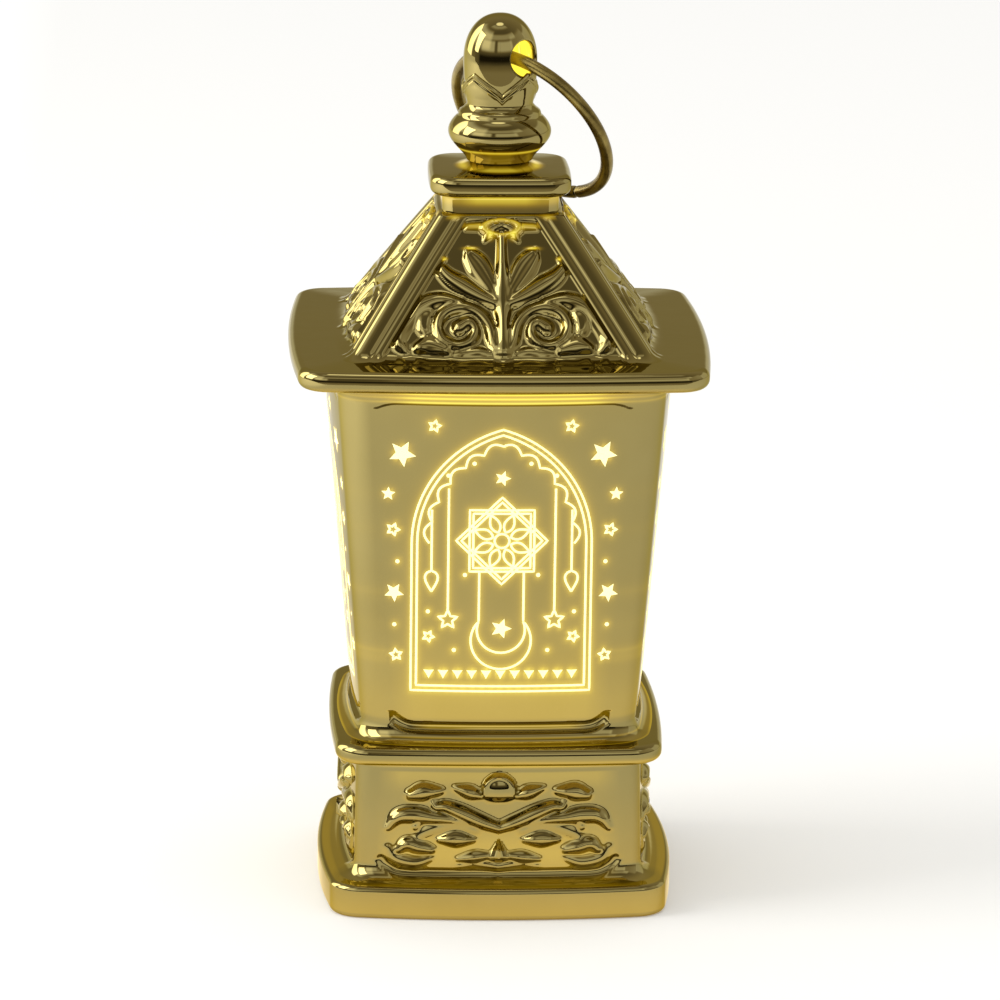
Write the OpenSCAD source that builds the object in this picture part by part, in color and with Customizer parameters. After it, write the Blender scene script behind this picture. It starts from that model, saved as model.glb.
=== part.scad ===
// Ramadan fanous lantern: four translucent moulded shells with a metallised skin, a carry ring
// through the finial, and a base plate that holds three button cells, a slide switch and one
// warm white LED. Millimetres, +Z up, front towards -Y, the foot rim stands on z = 0.
// Every half width is measured to the middle of a bowed side.

/* [Foot rim] */
// Reach of the foot rim beyond the plinth wall
foot_reach = 4.2; // [3.6:0.1:5]
// Height of the foot rim
foot_h = 5.2; // [4.8:0.1:7]
// Bow radius of the foot rim's sides
foot_bow_r = 147; // [120:1:300]
// Corner radius of the foot rim
foot_corner_r = 5.3; // [4:0.1:6.5]
// Rounding of the foot rim's edges
foot_edge_r = 0.9; // [0.5:0.1:1.3]

/* [Plinth] */
// Height of the plinth, from the floor to the ledge
plinth_h = 24.5; // [23:0.5:32]
// Reach of the plinth wall's foot beyond its top
plinth_flare = 0.4; // [0.1:0.1:1]
// Half width of the plinth wall under the ledge
plinth_top_half = 23.6; // [23.2:0.1:24.6]
// Bow radius of the plinth wall
plinth_bow_r = 150; // [120:1:300]
// Corner radius of the plinth wall
plinth_corner_r = 4; // [3.4:0.1:5]
// Radius of the cove where the plinth wall meets the foot rim
plinth_cove_r = 2.6; // [1.5:0.1:3]
// Radius of the cove under the ledge
ledge_cove_r = 0.8; // [0.4:0.1:1.2]

/* [Ledge] */
// Reach of the ledge beyond the plinth wall
ledge_reach = 2.8; // [2.4:0.1:3.6]
// Thickness of the ledge
ledge_t = 3.1; // [2.8:0.1:4.5]
// Bow radius of the ledge's sides
ledge_bow_r = 296; // [150:1:400]
// Corner radius of the ledge
ledge_corner_r = 5.6; // [4.5:0.1:7]
// Rounding of the ledge's edges
ledge_edge_r = 1.3; // [0.8:0.1:1.4]

/* [Body] */
// Height of the tapered body
body_h = 58.2; // [45:0.5:75]
// Width of the ledge's land in front of the body
body_inset = 3.65; // [3.3:0.05:4.2]
// Reach of the body's top beyond its foot
body_flare = 4.9; // [2.8:0.05:5.8]
// Bow radius of the body's panels
body_bow_r = 116; // [90:1:300]
// Corner radius of the body
body_corner_r = 6; // [5:0.1:7]
// Reach of the cove at the body's foot
body_foot_reach = 2.4; // [1.2:0.1:2.6]
// Height of the cove at the body's foot
body_foot_rise = 3; // [1.5:0.1:4]
// Reach of the cove under the eave
body_head_reach = 2.2; // [1:0.1:2.8]
// Height of the cove under the eave
body_head_rise = 2.9; // [1.5:0.1:4]

/* [Eave] */
// Reach of the eave beyond the body
eave_reach = 5.45; // [4.4:0.05:7]
// Thickness of the eave
eave_t = 3.3; // [3:0.1:4.5]
// Bow radius of the eave's sides
eave_bow_r = 287; // [150:1:400]
// Corner radius of the eave
eave_corner_r = 5; // [4:0.1:8]
// Rounding of the eave's edges
eave_edge_r = 1.45; // [0.8:0.05:1.5]

/* [Roof] */
// Height of the roof above the eave
roof_h = 20.4; // [18:0.2:28]
// Width of the eave's land in front of the roof
eave_land = 8.1; // [7:0.1:9.6]
// Width of the roof's land round the neck
roof_top_land = 0.5; // [0.3:0.1:1.2]
// Bow radius of the roof's sides
roof_bow_r = 200; // [100:1:400]
// Corner radius of the roof's ridges
roof_corner_r = 1.6; // [1.2:0.1:2]
// Radius of the cove between the eave and the roof
roof_cove_r = 1.2; // [0.6:0.1:2]
// Width of the rib beside each ridge
rib_w = 3.4; // [2.8:0.1:3.8]
// Depth of the groove along each rib
rib_groove_d = 0.3; // [0.1:0.05:0.4]
// Depth of the roof panels below the ribs
panel_d = 0.7; // [0.3:0.1:0.9]
// Height of the plain band above the roof panels
roof_band_h = 0.9; // [0.5:0.1:1.5]

/* [Scrolls] */
// Height of the roof's scrolls above their panel
roof_scroll_h = 1.4; // [0.8:0.1:1.8]
// Half width of the roof's broadest scroll
roof_scroll_w = 1.5; // [1.1:0.1:1.7]
// Height of the plinth's scrolls above its wall
plinth_scroll_h = 1.1; // [0.6:0.1:1.4]
// Half width of the plinth's broadest scroll
plinth_scroll_w = 1.3; // [0.9:0.1:1.5]
// Radius of the knob above the plinth's scrolls
plinth_knob_r = 2.7; // [1.8:0.1:2.9]
// Depth of a scroll's root in its wall
scroll_root = 0.5; // [0.3:0.1:0.8]

/* [Cap] */
// Height of the neck under the cap
neck_h = 2.7; // [2:0.1:4]
// Half width of the neck
neck_half = 9.3; // [9:0.1:9.5]
// Corner radius of the neck
neck_corner_r = 3; // [2.6:0.1:3.6]
// Reach of the cap beyond the neck
cap_reach = 1.9; // [1.5:0.1:2.3]
// Thickness of the cap
cap_t = 3.2; // [2.8:0.1:4]
// Bow radius of the cap's and the neck's sides
cap_bow_r = 156; // [80:1:300]
// Corner radius of the cap
cap_corner_r = 4.5; // [3.5:0.1:5]
// Rounding of the cap's edges
cap_edge_r = 1.2; // [0.6:0.1:1.3]

/* [Finial] */
// Height of the finial above the cap
finial_h = 24.2; // [22:0.2:28]
// Half width of the finial's square foot
finial_foot_half = 7.4; // [7:0.1:7.8]
// Height of the finial's square foot
finial_foot_h = 1.5; // [1:0.1:1.8]
// Radius of the waist above the foot
foot_waist_r = 5.2; // [5:0.1:5.6]
// Radius of the knob
knob_r = 8.1; // [7.5:0.1:8.4]
// Height of the knob's middle above the cap
knob_rise = 5.6; // [5.2:0.1:6]
// Radius of the bead on top of the knob
bead_r = 6.5; // [6.3:0.1:6.8]
// Height of the bead above the cap
bead_rise = 8.2; // [8:0.1:8.6]
// Radius of the waist above the bead
bead_waist_r = 5.1; // [5:0.1:5.4]
// Height of that waist above the cap
waist_rise = 10.4; // [10:0.1:10.8]
// Radius of the cup lip that the bulb sits in
cup_r = 5.8; // [5.6:0.05:6]
// Height of the cup lip above the cap
cup_rise = 13.2; // [12.9:0.1:13.5]
// Radius of the bulb
bulb_r = 5.8; // [5.7:0.05:6.3]
// Height from the bulb's widest part to its tip
bulb_h = 7.5; // [7:0.1:8]

/* [Carry ring] */
// Radius of the carry ring, to the middle of its wire
ring_r = 14.2; // [13.8:0.1:14.6]
// Radius of the ring's wire
ring_wire_r = 1; // [0.8:0.05:1.05]
// Radius of the hole through the finial
ring_hole_r = 2.75; // [2.6:0.05:2.9]
// Distance of the hole below the finial's tip
ring_hole_drop = 6.6; // [6:0.1:7]
// Turn of the hole's axis from the front towards the right, in degrees
ring_turn = 46.5; // [44:0.5:48]
// Angle of the resting ring below level, in degrees
ring_tilt = 57.3; // [54:0.1:57.5]
// Gap in the ring where the ends of its wire meet
ring_seam = 0.25; // [0.1:0.05:0.4]
// Angle from the ring's lowest point to its seam, in degrees
ring_seam_turn = 13; // [8:1:30]

/* [Shells and fits] */
// Wall thickness of the moulded shells
wall_t = 1.6; // [1.4:0.1:1.7]
// Wall thickness of the spigots that locate the shells
spigot_t = 1.4; // [1:0.1:1.6]
// Length of the spigots
spigot_h = 4; // [3:0.1:5]
// Clearance round a spigot or a plate in its seat
fit_gap = 0.15; // [0.1:0.05:0.2]
// Clearance round small inner pieces
small_gap = 0.1; // [0.08:0.01:0.15]

/* [Base plate] */
// Height of the base plate's underside above the floor
base_rise = 0.6; // [0.5:0.1:1]
// Thickness of the base plate
base_t = 2.2; // [2:0.1:2.6]
// Width of the rim that stands round the base plate
foot_land_w = 3.6; // [3.2:0.1:4]
// Radius of the screw bosses beyond the plinth's inner corner radius
boss_bite = 0.5; // [0.3:0.1:0.8]
// Height of the screw bosses
boss_h = 8.4; // [7:0.1:12]
// Radius of the base screws
screw_r = 1.1; // [0.9:0.05:1.25]
// Length of the base screws under the head
screw_l = 7; // [5:0.1:8]
// Radius of the screw heads
screw_head_r = 2; // [1.8:0.1:2.1]
// Height of the screw heads
screw_head_h = 0.9; // [0.7:0.05:1]
// Width of the slot in a screw head
screw_slot_w = 0.5; // [0.3:0.05:0.6]

/* [Battery case] */
// Radius of a button cell
cell_r = 5.8; // [5.5:0.05:6]
// Thickness of a button cell
cell_t = 5.4; // [5:0.1:5.6]
// Radius of a cell's small pole
cell_pole_r = 4.2; // [3.5:0.1:4.6]
// Step at a cell's small pole
cell_pole_h = 0.5; // [0.3:0.1:0.7]
// Wall thickness of the battery case
case_t = 1.2; // [1:0.1:1.6]
// Space left round the cells
cell_gap = 0.25; // [0.2:0.05:0.4]
// Thickness of the contact strips
contact_t = 0.3; // [0.2:0.05:0.4]
// Width of the contact strips
contact_w = 6; // [4:0.5:8]
// Height of the pressed dimple on a contact
dimple_h = 0.9; // [0.6:0.1:1.2]
// Radius of the pressed dimple
dimple_r = 1.8; // [1.2:0.1:2.4]
// Width of a contact's solder tab
tab_w = 2; // [1.5:0.1:3]
// Height of a contact's solder tab above the case
tab_h = 2; // [1.2:0.1:2.4]
// Thickness of the battery door
door_t = 1.3; // [1.1:0.1:1.5]
// Rim by which the door overlaps the battery opening
door_lap = 1.2; // [0.9:0.1:1.4]
// Length of the door's screw end
door_tail = 5.6; // [5.2:0.1:6.4]
// Radius of the door screw
door_screw_r = 0.9; // [0.7:0.05:1]
// Length of the door screw under its head
door_screw_l = 5; // [4:0.1:6]
// Radius of the door screw's head
door_screw_head_r = 1.6; // [1.4:0.1:1.7]
// Height of the door screw's head
door_screw_head_h = 0.6; // [0.4:0.05:0.7]

/* [Switch] */
// Length of the slide switch
switch_l = 8.6; // [8:0.1:10]
// Width of the slide switch
switch_w = 4.4; // [4:0.1:5]
// Height of the slide switch
switch_h = 3.8; // [3.4:0.1:5]
// Gap between the switch and the plinth wall
switch_inset = 4.3; // [4.3:0.1:5.6]
// Length of the switch knob
knob_l = 2.4; // [2:0.1:3]
// Width of the switch knob
knob_w = 1.6; // [1.4:0.1:2]
// Travel of the switch knob
knob_travel = 2; // [1.5:0.1:2.2]
// Height of the knob's end above the floor
knob_rise_floor = 0.55; // [0.5:0.05:0.9]
// Wall thickness of the switch housing
switch_wall = 0.6; // [0.5:0.05:0.8]
// Width of a switch terminal
terminal_w = 0.8; // [0.6:0.1:1]
// Thickness of a switch terminal
terminal_t = 0.3; // [0.2:0.05:0.4]
// Height of a switch terminal above the switch
terminal_h = 2.2; // [1.5:0.1:3]
// Spacing of the switch terminals
terminal_pitch = 2.5; // [2:0.1:2.8]

/* [Light] */
// Gap between the board's ends and the wires beside it
board_end_gap = 0.5; // [0.3:0.1:1.2]
// Width of the circuit board
board_w = 11; // [10:0.5:12]
// Thickness of the circuit board
board_t = 1; // [0.8:0.1:1.6]
// Radius of the pegs that hold the board
peg_r = 0.8; // [0.6:0.05:1]
// Distance of a peg from the board's edge
peg_inset = 1.6; // [1.4:0.1:2]
// Radius of the LED's body
led_r = 2.5; // [1.5:0.1:2.6]
// Height of the LED, its dome included
led_h = 8.6; // [6:0.1:9]
// Radius of the LED's flange
led_flange_r = 2.9; // [2.7:0.1:3.2]
// Height of the LED's flange
led_flange_h = 1; // [0.8:0.1:1.2]
// Spacing of the LED's leads
lead_pitch = 2.54; // [2:0.02:2.8]
// Radius of the LED's leads
lead_r = 0.25; // [0.2:0.05:0.3]
// Radius of the spacer under the LED
spacer_r = 2.9; // [2.7:0.1:3.2]
// Height of the spacer under the LED
spacer_h = 4; // [2:0.1:5]
// Radius of the resistor's body
resistor_r = 0.8; // [0.6:0.05:1]
// Length of the resistor's body
resistor_l = 3.4; // [2.5:0.1:4]
// Length of the resistor's bent leads beyond its body
resistor_lead = 0.8; // [0.6:0.1:1.2]
// Radius of the insulated wires
wire_r = 0.45; // [0.3:0.05:0.5]
// Height of the wires' arch above the battery case
wire_arch_h = 4.2; // [3.2:0.1:6]

/* [Hidden] */

gold = "#a89a58";
brass = "#7d6b35";
ivory = "#e9e2cf";
steel = "#b9bcc0";
board_green = "#2f6b45";
black_plastic = "#26262a";
red_pvc = "#b3261e";

side_steps = 6;
corner_steps = 6;
edge_steps = 3;
$fn = 48;

// Overrun of cuts past the faces that they open
over = 0.5;

// Half widths of the stacked shells
plinth_low_half = plinth_top_half + plinth_flare;
foot_half = plinth_low_half + foot_reach;
ledge_half = plinth_top_half + ledge_reach;
body_low_half = ledge_half - body_inset;
body_top_half = body_low_half + body_flare;
eave_half = body_top_half + eave_reach;
roof_low_half = eave_half - eave_land;
roof_top_half = neck_half + roof_top_land;
cap_half = neck_half + cap_reach;
plinth_in_half = plinth_top_half - wall_t;
switch_y = plinth_in_half - switch_w / 2 - switch_inset;

// Levels of the stacked shells
ledge_low_z = plinth_h;
ledge_top_z = ledge_low_z + ledge_t;
eave_low_z = ledge_top_z + body_h;
eave_top_z = eave_low_z + eave_t;
roof_top_z = eave_top_z + roof_h;
cap_low_z = roof_top_z + neck_h;
cap_top_z = cap_low_z + cap_t;
tip_z = cap_top_z + finial_h;
ring_hole_z = tip_z - ring_hole_drop;

// Levels of the base
base_low_z = base_rise;
seat_z = base_rise + base_t;
door_top_z = base_low_z + door_t;
cell_z = seat_z + cell_gap + cell_r;
case_top_z = cell_z + cell_r + cell_gap + case_t;
board_low_z = case_top_z;
board_top_z = board_low_z + board_t;
led_low_z = board_top_z + spacer_h;

// Half width of the tapered walls at a height
function taper(z, z0, half0, z1, half1) = half0 + (half1 - half0) * (z - z0) / (z1 - z0);
function plinth_half(z) = taper(z, foot_h, plinth_low_half, ledge_low_z, plinth_top_half);
function body_half(z) = taper(z, ledge_top_z, body_low_half, eave_low_z, body_top_half);
function roof_half(z) = taper(z, eave_top_z, roof_low_half, roof_top_z, roof_top_half);

// A square with four bowed sides and four round corners, as a list of points. The side arcs
// have their centres on the axes, and the corner arcs touch them at the angle side_turn.
function corner_at(half, bow, corner) =
    let (k = bow - half, inner = bow - corner) (sqrt(2 * inner * inner - k * k) - k) / 2;
function side_turn(half, bow, corner) =
    let (c = corner_at(half, bow, corner)) atan2(c, c + bow - half);
function side_arc(half, bow, corner) =
    let (t = side_turn(half, bow, corner))
    [for (i = [0:side_steps - 1]) let (a = -t + 2 * t * i / side_steps)
        [half - bow + bow * cos(a), bow * sin(a)]];
function corner_arc(half, bow, corner) =
    let (t = side_turn(half, bow, corner), c = corner_at(half, bow, corner))
    [for (i = [0:corner_steps - 1]) let (a = t + (90 - 2 * t) * i / corner_steps)
        [c + corner * cos(a), c + corner * sin(a)]];
function turned(points, a) =
    [for (p = points) [p.x * cos(a) - p.y * sin(a), p.x * sin(a) + p.y * cos(a)]];
function outline(half, bow, corner) =
    let (quarter = concat(side_arc(half, bow, corner), corner_arc(half, bow, corner)))
    [for (q = [0:3]) each turned(quarter, 90 * q)];
function raised(points, z) = [for (p = points) [p.x, p.y, z]];
// One section of a shell: the outline set out by off and raised to z
function section(z, half, bow, corner, off) =
    raised(outline(half + off, bow + off, corner + off), z);

// Shares of an arc's turn, for rounded edges and coves
edge_shares = [for (i = [0:edge_steps]) i / edge_steps];
function rise_of(share) = 1 - cos(90 * share);
function fall_of(share) = 1 - sin(90 * share);

// Skin over a closed loop of sections, out along one face of a shell and back along the other
module shell(sections) {
    rows = len(sections);
    n = len(sections[0]);
    points = [for (s = sections) each s];
    faces = [for (i = [0:rows - 1], j = [0:n - 1])
        let (a = i * n, b = ((i + 1) % rows) * n, k = (j + 1) % n)
        each [[a + j, b + j, b + k], [a + j, b + k, a + k]]];
    polyhedron(points, faces, convexity = 10);
}

// Half width, bow and corner radius of each shell's outline, in that order
foot_form = [foot_half, foot_bow_r, foot_corner_r];
ledge_form = [ledge_half, ledge_bow_r, ledge_corner_r];
cap_form = [cap_half, cap_bow_r, cap_corner_r];
function formed(z, form, off) = section(z, form[0], form[1], form[2], off);
// The rounded lower and upper edge of a plate, as sections from bottom to top
function low_edge(z, form, edge) =
    [for (s = edge_shares) formed(z + edge * rise_of(s), form, -edge * fall_of(s))];
function high_edge(z, form, edge) =
    [for (s = edge_shares) formed(z - edge * fall_of(s), form, -edge * rise_of(s))];

// Plinth shell
plinth_in_corner_r = plinth_corner_r - wall_t;
plinth_in_bow_r = plinth_bow_r - wall_t;
base_seat_off = -foot_land_w;
collar_off = -wall_t - fit_gap;
collar_top_z = ledge_top_z + spigot_h;
ledge_in_z = ledge_top_z - wall_t;
function plinth_wall(z, off) =
    section(z, plinth_half(z), plinth_bow_r, plinth_corner_r, off);
function plinth_inside(z) =
    section(z, plinth_in_half, plinth_in_bow_r, plinth_in_corner_r, 0);
function body_wall(z, off) = section(z, body_half(z), body_bow_r, body_corner_r, off);
function collar_at(z, off) = raised(outline(body_low_half + off, body_bow_r + off,
    body_corner_r + off), z);
plinth_sections = concat(
    low_edge(0, foot_form, foot_edge_r),
    high_edge(foot_h, foot_form, foot_edge_r),
    [for (s = edge_shares)
        plinth_wall(foot_h + plinth_cove_r * rise_of(s), plinth_cove_r * fall_of(s))],
    [for (s = edge_shares)
        plinth_wall(ledge_low_z - ledge_cove_r * fall_of(s), ledge_cove_r * rise_of(s))],
    low_edge(ledge_low_z, ledge_form, ledge_edge_r),
    high_edge(ledge_top_z, ledge_form, ledge_edge_r),
    [collar_at(ledge_top_z, collar_off), collar_at(collar_top_z, collar_off),
        collar_at(collar_top_z, collar_off - spigot_t), collar_at(ledge_in_z, collar_off - spigot_t),
        plinth_inside(ledge_in_z), plinth_inside(seat_z),
        formed(seat_z, foot_form, base_seat_off), formed(0, foot_form, base_seat_off)]);

// A scroll is a ridge along stations, which are shares: how far out from the panel's middle,
// how far up the panel, and how broad beside the broadest scroll. Its section has a crest and
// two shoulders. on gives the panel's point for a distance from the middle, a level and a rise.
root_w_share = 1.1;
shoulder_w_share = 0.6;
shoulder_h_share = 0.72;
full_h_share = 0.6;
module scroll(shares, w, h, low_z, high_z, half_at, on) {
    n = len(shares);
    spots = [for (s = shares) let (z = low_z + s.y * (high_z - low_z))
        [s.x * half_at(z), z, s.z * w, h * min(1, s.z / full_h_share)]];
    points = [for (i = [0:n - 1])
        let (p = spots[i], a = spots[max(i - 1, 0)], b = spots[min(i + 1, n - 1)],
            run = [b.x - a.x, b.y - a.y], side = p[2] * [-run.y, run.x] / norm(run),
            root = root_w_share * side, shoulder = shoulder_w_share * side)
        each [on(p.x - root.x, p.y - root.y, -scroll_root),
            on(p.x - shoulder.x, p.y - shoulder.y, shoulder_h_share * p[3]),
            on(p.x, p.y, p[3]),
            on(p.x + shoulder.x, p.y + shoulder.y, shoulder_h_share * p[3]),
            on(p.x + root.x, p.y + root.y, -scroll_root)]];
    last = 5 * (n - 1);
    faces = concat(
        [for (i = [0:n - 2], k = [0:4]) let (a = 5 * i, b = a + 5, m = (k + 1) % 5)
            each [[a + k, b + m, b + k], [a + k, a + m, b + m]]],
        [for (k = [1:3]) each [[0, k + 1, k], [last, last + k, last + k + 1]]]);
    polyhedron(points, faces, convexity = 6);
}
// Stations on both sides of the middle, from those of one side that start on it
function across(list) =
    concat([for (i = [len(list) - 1:-1:1]) [-list[i].x, list[i].y, list[i].z]], list);
module on_four_sides() {
    for (q = [0:3]) rotate([0, 0, 90 * q]) children();
}
module on_both_halves() {
    for (m = [0, 1]) mirror([0, m, 0]) children();
}

// Scrolls of the plinth: wings that cross the middle over a bud, and leaves, lobes and eyes
plinth_wing_shares = [[0, 0.46, 0.6], [0.15, 0.53, 0.78], [0.3, 0.615, 0.75], [0.42, 0.635, 0.4]];
plinth_bud_shares = [[0, 0.35, 0.2], [0, 0.27, 1], [0, 0.185, 1.6]];
plinth_leaf_shares = [
    [[0.11, 0.72, 0.3], [0.19, 0.755, 0.74], [0.29, 0.79, 0.3]],
    [[0.585, 0.73, 0.6], [0.505, 0.755, 1], [0.39, 0.77, 0.42]],
    [[0.195, 0.49, 0.31], [0.38, 0.54, 0.62], [0.58, 0.56, 0.92], [0.735, 0.44, 0.36]],
    [[0.395, 0.357, 0.38], [0.285, 0.368, 0.96], [0.175, 0.357, 0.38]],
    [[0.665, 0.264, 0.46], [0.58, 0.31, 0.8], [0.45, 0.27, 0.46]]];
plinth_knob_share = 0.77;
plinth_half_at = function (z) plinth_top_half;
on_plinth = function (u, z, d)
    [plinth_half(z) - plinth_bow_r + sqrt(plinth_bow_r * plinth_bow_r - u * u) + d, u, z];
module plinth_scroll(shares) {
    scroll(shares, plinth_scroll_w, plinth_scroll_h, foot_h, ledge_low_z, plinth_half_at, on_plinth);
}
module plinth_knob() {
    top = scroll_root + plinth_scroll_h;
    translate(on_plinth(0, foot_h + plinth_knob_share * (ledge_low_z - foot_h), -scroll_root))
        rotate([0, 90, 0]) rotate_extrude() polygon([[0, 0], [plinth_knob_r, 0],
            [plinth_knob_r * shoulder_w_share, top * shoulder_h_share + scroll_root / 2],
            [0, top]]);
}

// Screw bosses stand on the arc centres of the plinth's inner corners
boss_at = corner_at(plinth_in_half, plinth_in_bow_r, plinth_in_corner_r);
boss_r = plinth_in_corner_r + boss_bite;
pilot_r = screw_r + small_gap / 2;
module at_bosses() {
    for (x = [-boss_at, boss_at], y = [-boss_at, boss_at])
        translate([x, y, 0]) children();
}
module plinth_shell() {
    color(gold) difference() {
        union() {
            shell(plinth_sections);
            at_bosses() translate([0, 0, seat_z]) cylinder(r = boss_r, h = boss_h);
            on_four_sides() {
                plinth_knob();
                plinth_scroll(across(plinth_wing_shares));
                plinth_scroll(plinth_bud_shares);
                on_both_halves() for (s = plinth_leaf_shares) plinth_scroll(s);
            }
        }
        at_bosses() translate([0, 0, seat_z - over])
            cylinder(r = pilot_r, h = screw_l + over);
    }
}

// Body shell, open at both ends
body_sections = concat(
    [for (s = edge_shares)
        body_wall(ledge_top_z + body_foot_rise * rise_of(s), body_foot_reach * fall_of(s))],
    [for (s = edge_shares)
        body_wall(eave_low_z - body_head_rise * fall_of(s), body_head_reach * rise_of(s))],
    [body_wall(eave_low_z, -wall_t), body_wall(ledge_top_z, -wall_t)]);
module body_shell() {
    color(gold) shell(body_sections);
}

// Roof shell. Its outline carries a grooved rib beside each ridge and a sunk panel between
// the ribs. Each rib point is a distance in from the corner arc's end and a depth.
rib_shares = [0.3, 0.45, 0.6, 0.85, 1];
rib_depths = [0, rib_groove_d, 0, 0, panel_d];
panel_shares = [-0.5, 0, 0.5];
// A point on the bowed side at distance y from the middle, set in by d
function side_point(half, bow, y, d) = [half - bow + sqrt(bow * bow - y * y) - d, y];
function rib_side(half, bow, corner, cut) =
    let (t = side_turn(half, bow, corner),
        end = corner_at(half, bow, corner) + corner * sin(t), panel = end - rib_w)
    concat([[half - bow + bow * cos(t), -end]],
        [for (i = [0:len(rib_shares) - 1])
            side_point(half, bow, rib_w * rib_shares[i] - end, cut * rib_depths[i])],
        [for (s = panel_shares) side_point(half, bow, panel * s, cut * panel_d)],
        [for (i = [len(rib_shares) - 1:-1:0])
            side_point(half, bow, end - rib_w * rib_shares[i], cut * rib_depths[i])]);
function roof_section(z, half, bow, corner, off, cut) =
    let (quarter = concat(rib_side(half + off, bow + off, corner + off, cut),
        corner_arc(half + off, bow + off, corner + off)))
    raised([for (q = [0:3]) each turned(quarter, 90 * q)], z);
function eave_at(z, off) = roof_section(z, eave_half, eave_bow_r, eave_corner_r, off, 0);
function roof_at(z, off, cut) =
    roof_section(z, roof_half(z), roof_bow_r, roof_corner_r, off, cut);
skirt_low_z = eave_low_z - spigot_h;
function skirt_at(z, off) =
    roof_section(z, body_half(skirt_low_z), body_bow_r, body_corner_r, off, 0);
skirt_off = -wall_t - fit_gap;
// The cap's spigot stands inside the roof's top by the shell wall and a fit
socket_off = -wall_t - fit_gap;
spigot_low_z = roof_top_z - spigot_h;
function socket_at(z, off) = roof_section(z, neck_half, cap_bow_r, neck_corner_r, off, 0);
// Level run of the sloped wall, with the panel's depth left in front of it
slope_turn = atan2(roof_low_half - roof_top_half, roof_h);
roof_in_run = (wall_t + panel_d) / cos(slope_turn);
roof_in_corner_r = neck_corner_r;
function roof_inside(z) =
    roof_section(z, roof_half(z) - roof_in_run, roof_bow_r, roof_in_corner_r, 0, 0);
roof_sections = concat(
    [skirt_at(skirt_low_z, skirt_off), skirt_at(eave_low_z, skirt_off)],
    [for (s = edge_shares) eave_at(eave_low_z + eave_edge_r * rise_of(s),
        -eave_edge_r * fall_of(s))],
    [for (s = edge_shares) eave_at(eave_top_z - eave_edge_r * fall_of(s),
        -eave_edge_r * rise_of(s))],
    [for (s = edge_shares)
        roof_at(eave_top_z + roof_cove_r * rise_of(s), roof_cove_r * fall_of(s), s)],
    [roof_at(roof_top_z - roof_band_h, 0, 1), roof_at(roof_top_z - roof_band_h / 2, 0, 0),
        roof_at(roof_top_z, 0, 0), socket_at(roof_top_z, -wall_t),
        socket_at(spigot_low_z, -wall_t), roof_inside(spigot_low_z), roof_inside(eave_top_z),
        skirt_at(eave_low_z, skirt_off - spigot_t), skirt_at(skirt_low_z, skirt_off - spigot_t)]);

// Scrolls of the roof panels: a stem, a flower over it, and hooks, stalks, volutes and leaves
roof_stem_shares = [[0, 0.84, 0.35], [0, 0.68, 0.4], [0, 0.52, 0.75], [0, 0.42, 1],
    [0, 0.3, 0.55], [0, 0.17, 0.55], [0, 0.09, 0.85]];
roof_flower_shares = [[0, 0.925, 0.55], [0.35, 0.926, 0.36], [0.7, 0.92, 0.26]];
roof_leaf_shares = [
    [[0.05, 0.43, 0.42], [0.19, 0.51, 0.57], [0.38, 0.6, 0.67], [0.585, 0.67, 0.55],
        [0.52, 0.745, 0.3]],
    [[0.08, 0.39, 0.53], [0.3, 0.445, 0.67], [0.55, 0.51, 0.67], [0.715, 0.49, 0.38]],
    [[0.84, 0.61, 0.3], [0.835, 0.51, 0.63], [0.79, 0.39, 0.3]],
    [[0.05, 0.075, 0.37], [0.083, 0.15, 0.47], [0.15, 0.29, 0.53], [0.36, 0.375, 0.53],
        [0.54, 0.343, 0.53], [0.56, 0.235, 0.48], [0.43, 0.13, 0.46], [0.25, 0.165, 0.46],
        [0.26, 0.26, 0.5]],
    [[0.51, 0.4, 0.42], [0.75, 0.405, 0.68], [0.9, 0.33, 0.84], [0.89, 0.19, 0.73],
        [0.78, 0.088, 0.33]]];
// A round lobe stands between these two shares of the panel, each out and up
roof_lobe_shares = [[0.47, 0.105], [0.64, 0.1]];
roof_panel_half_at = function (z) roof_half(z) - rib_w;
on_roof = function (u, z, d)
    [roof_half(z) - roof_bow_r + sqrt(roof_bow_r * roof_bow_r - u * u) - panel_d
        + d * cos(slope_turn), u, z + d * sin(slope_turn)];
module roof_scroll(shares) {
    scroll(shares, roof_scroll_w, roof_scroll_h, eave_top_z, roof_top_z, roof_panel_half_at, on_roof);
}
module roof_lobe() {
    hull() for (s = roof_lobe_shares) let (z = eave_top_z + s.y * roof_h)
        translate(on_roof(s.x * roof_panel_half_at(z), z, -scroll_root))
            rotate([0, 90 - slope_turn, 0])
                cylinder(r1 = roof_scroll_w, r2 = roof_scroll_w * (1 - shoulder_w_share),
                    h = scroll_root + roof_scroll_h, $fn = 10);
}
module roof_shell() {
    color(gold) {
        shell(roof_sections);
        on_four_sides() {
            roof_scroll(roof_stem_shares);
            roof_scroll(across(roof_flower_shares));
            on_both_halves() {
                for (s = roof_leaf_shares) roof_scroll(s);
                roof_lobe();
            }
        }
    }
}

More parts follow.
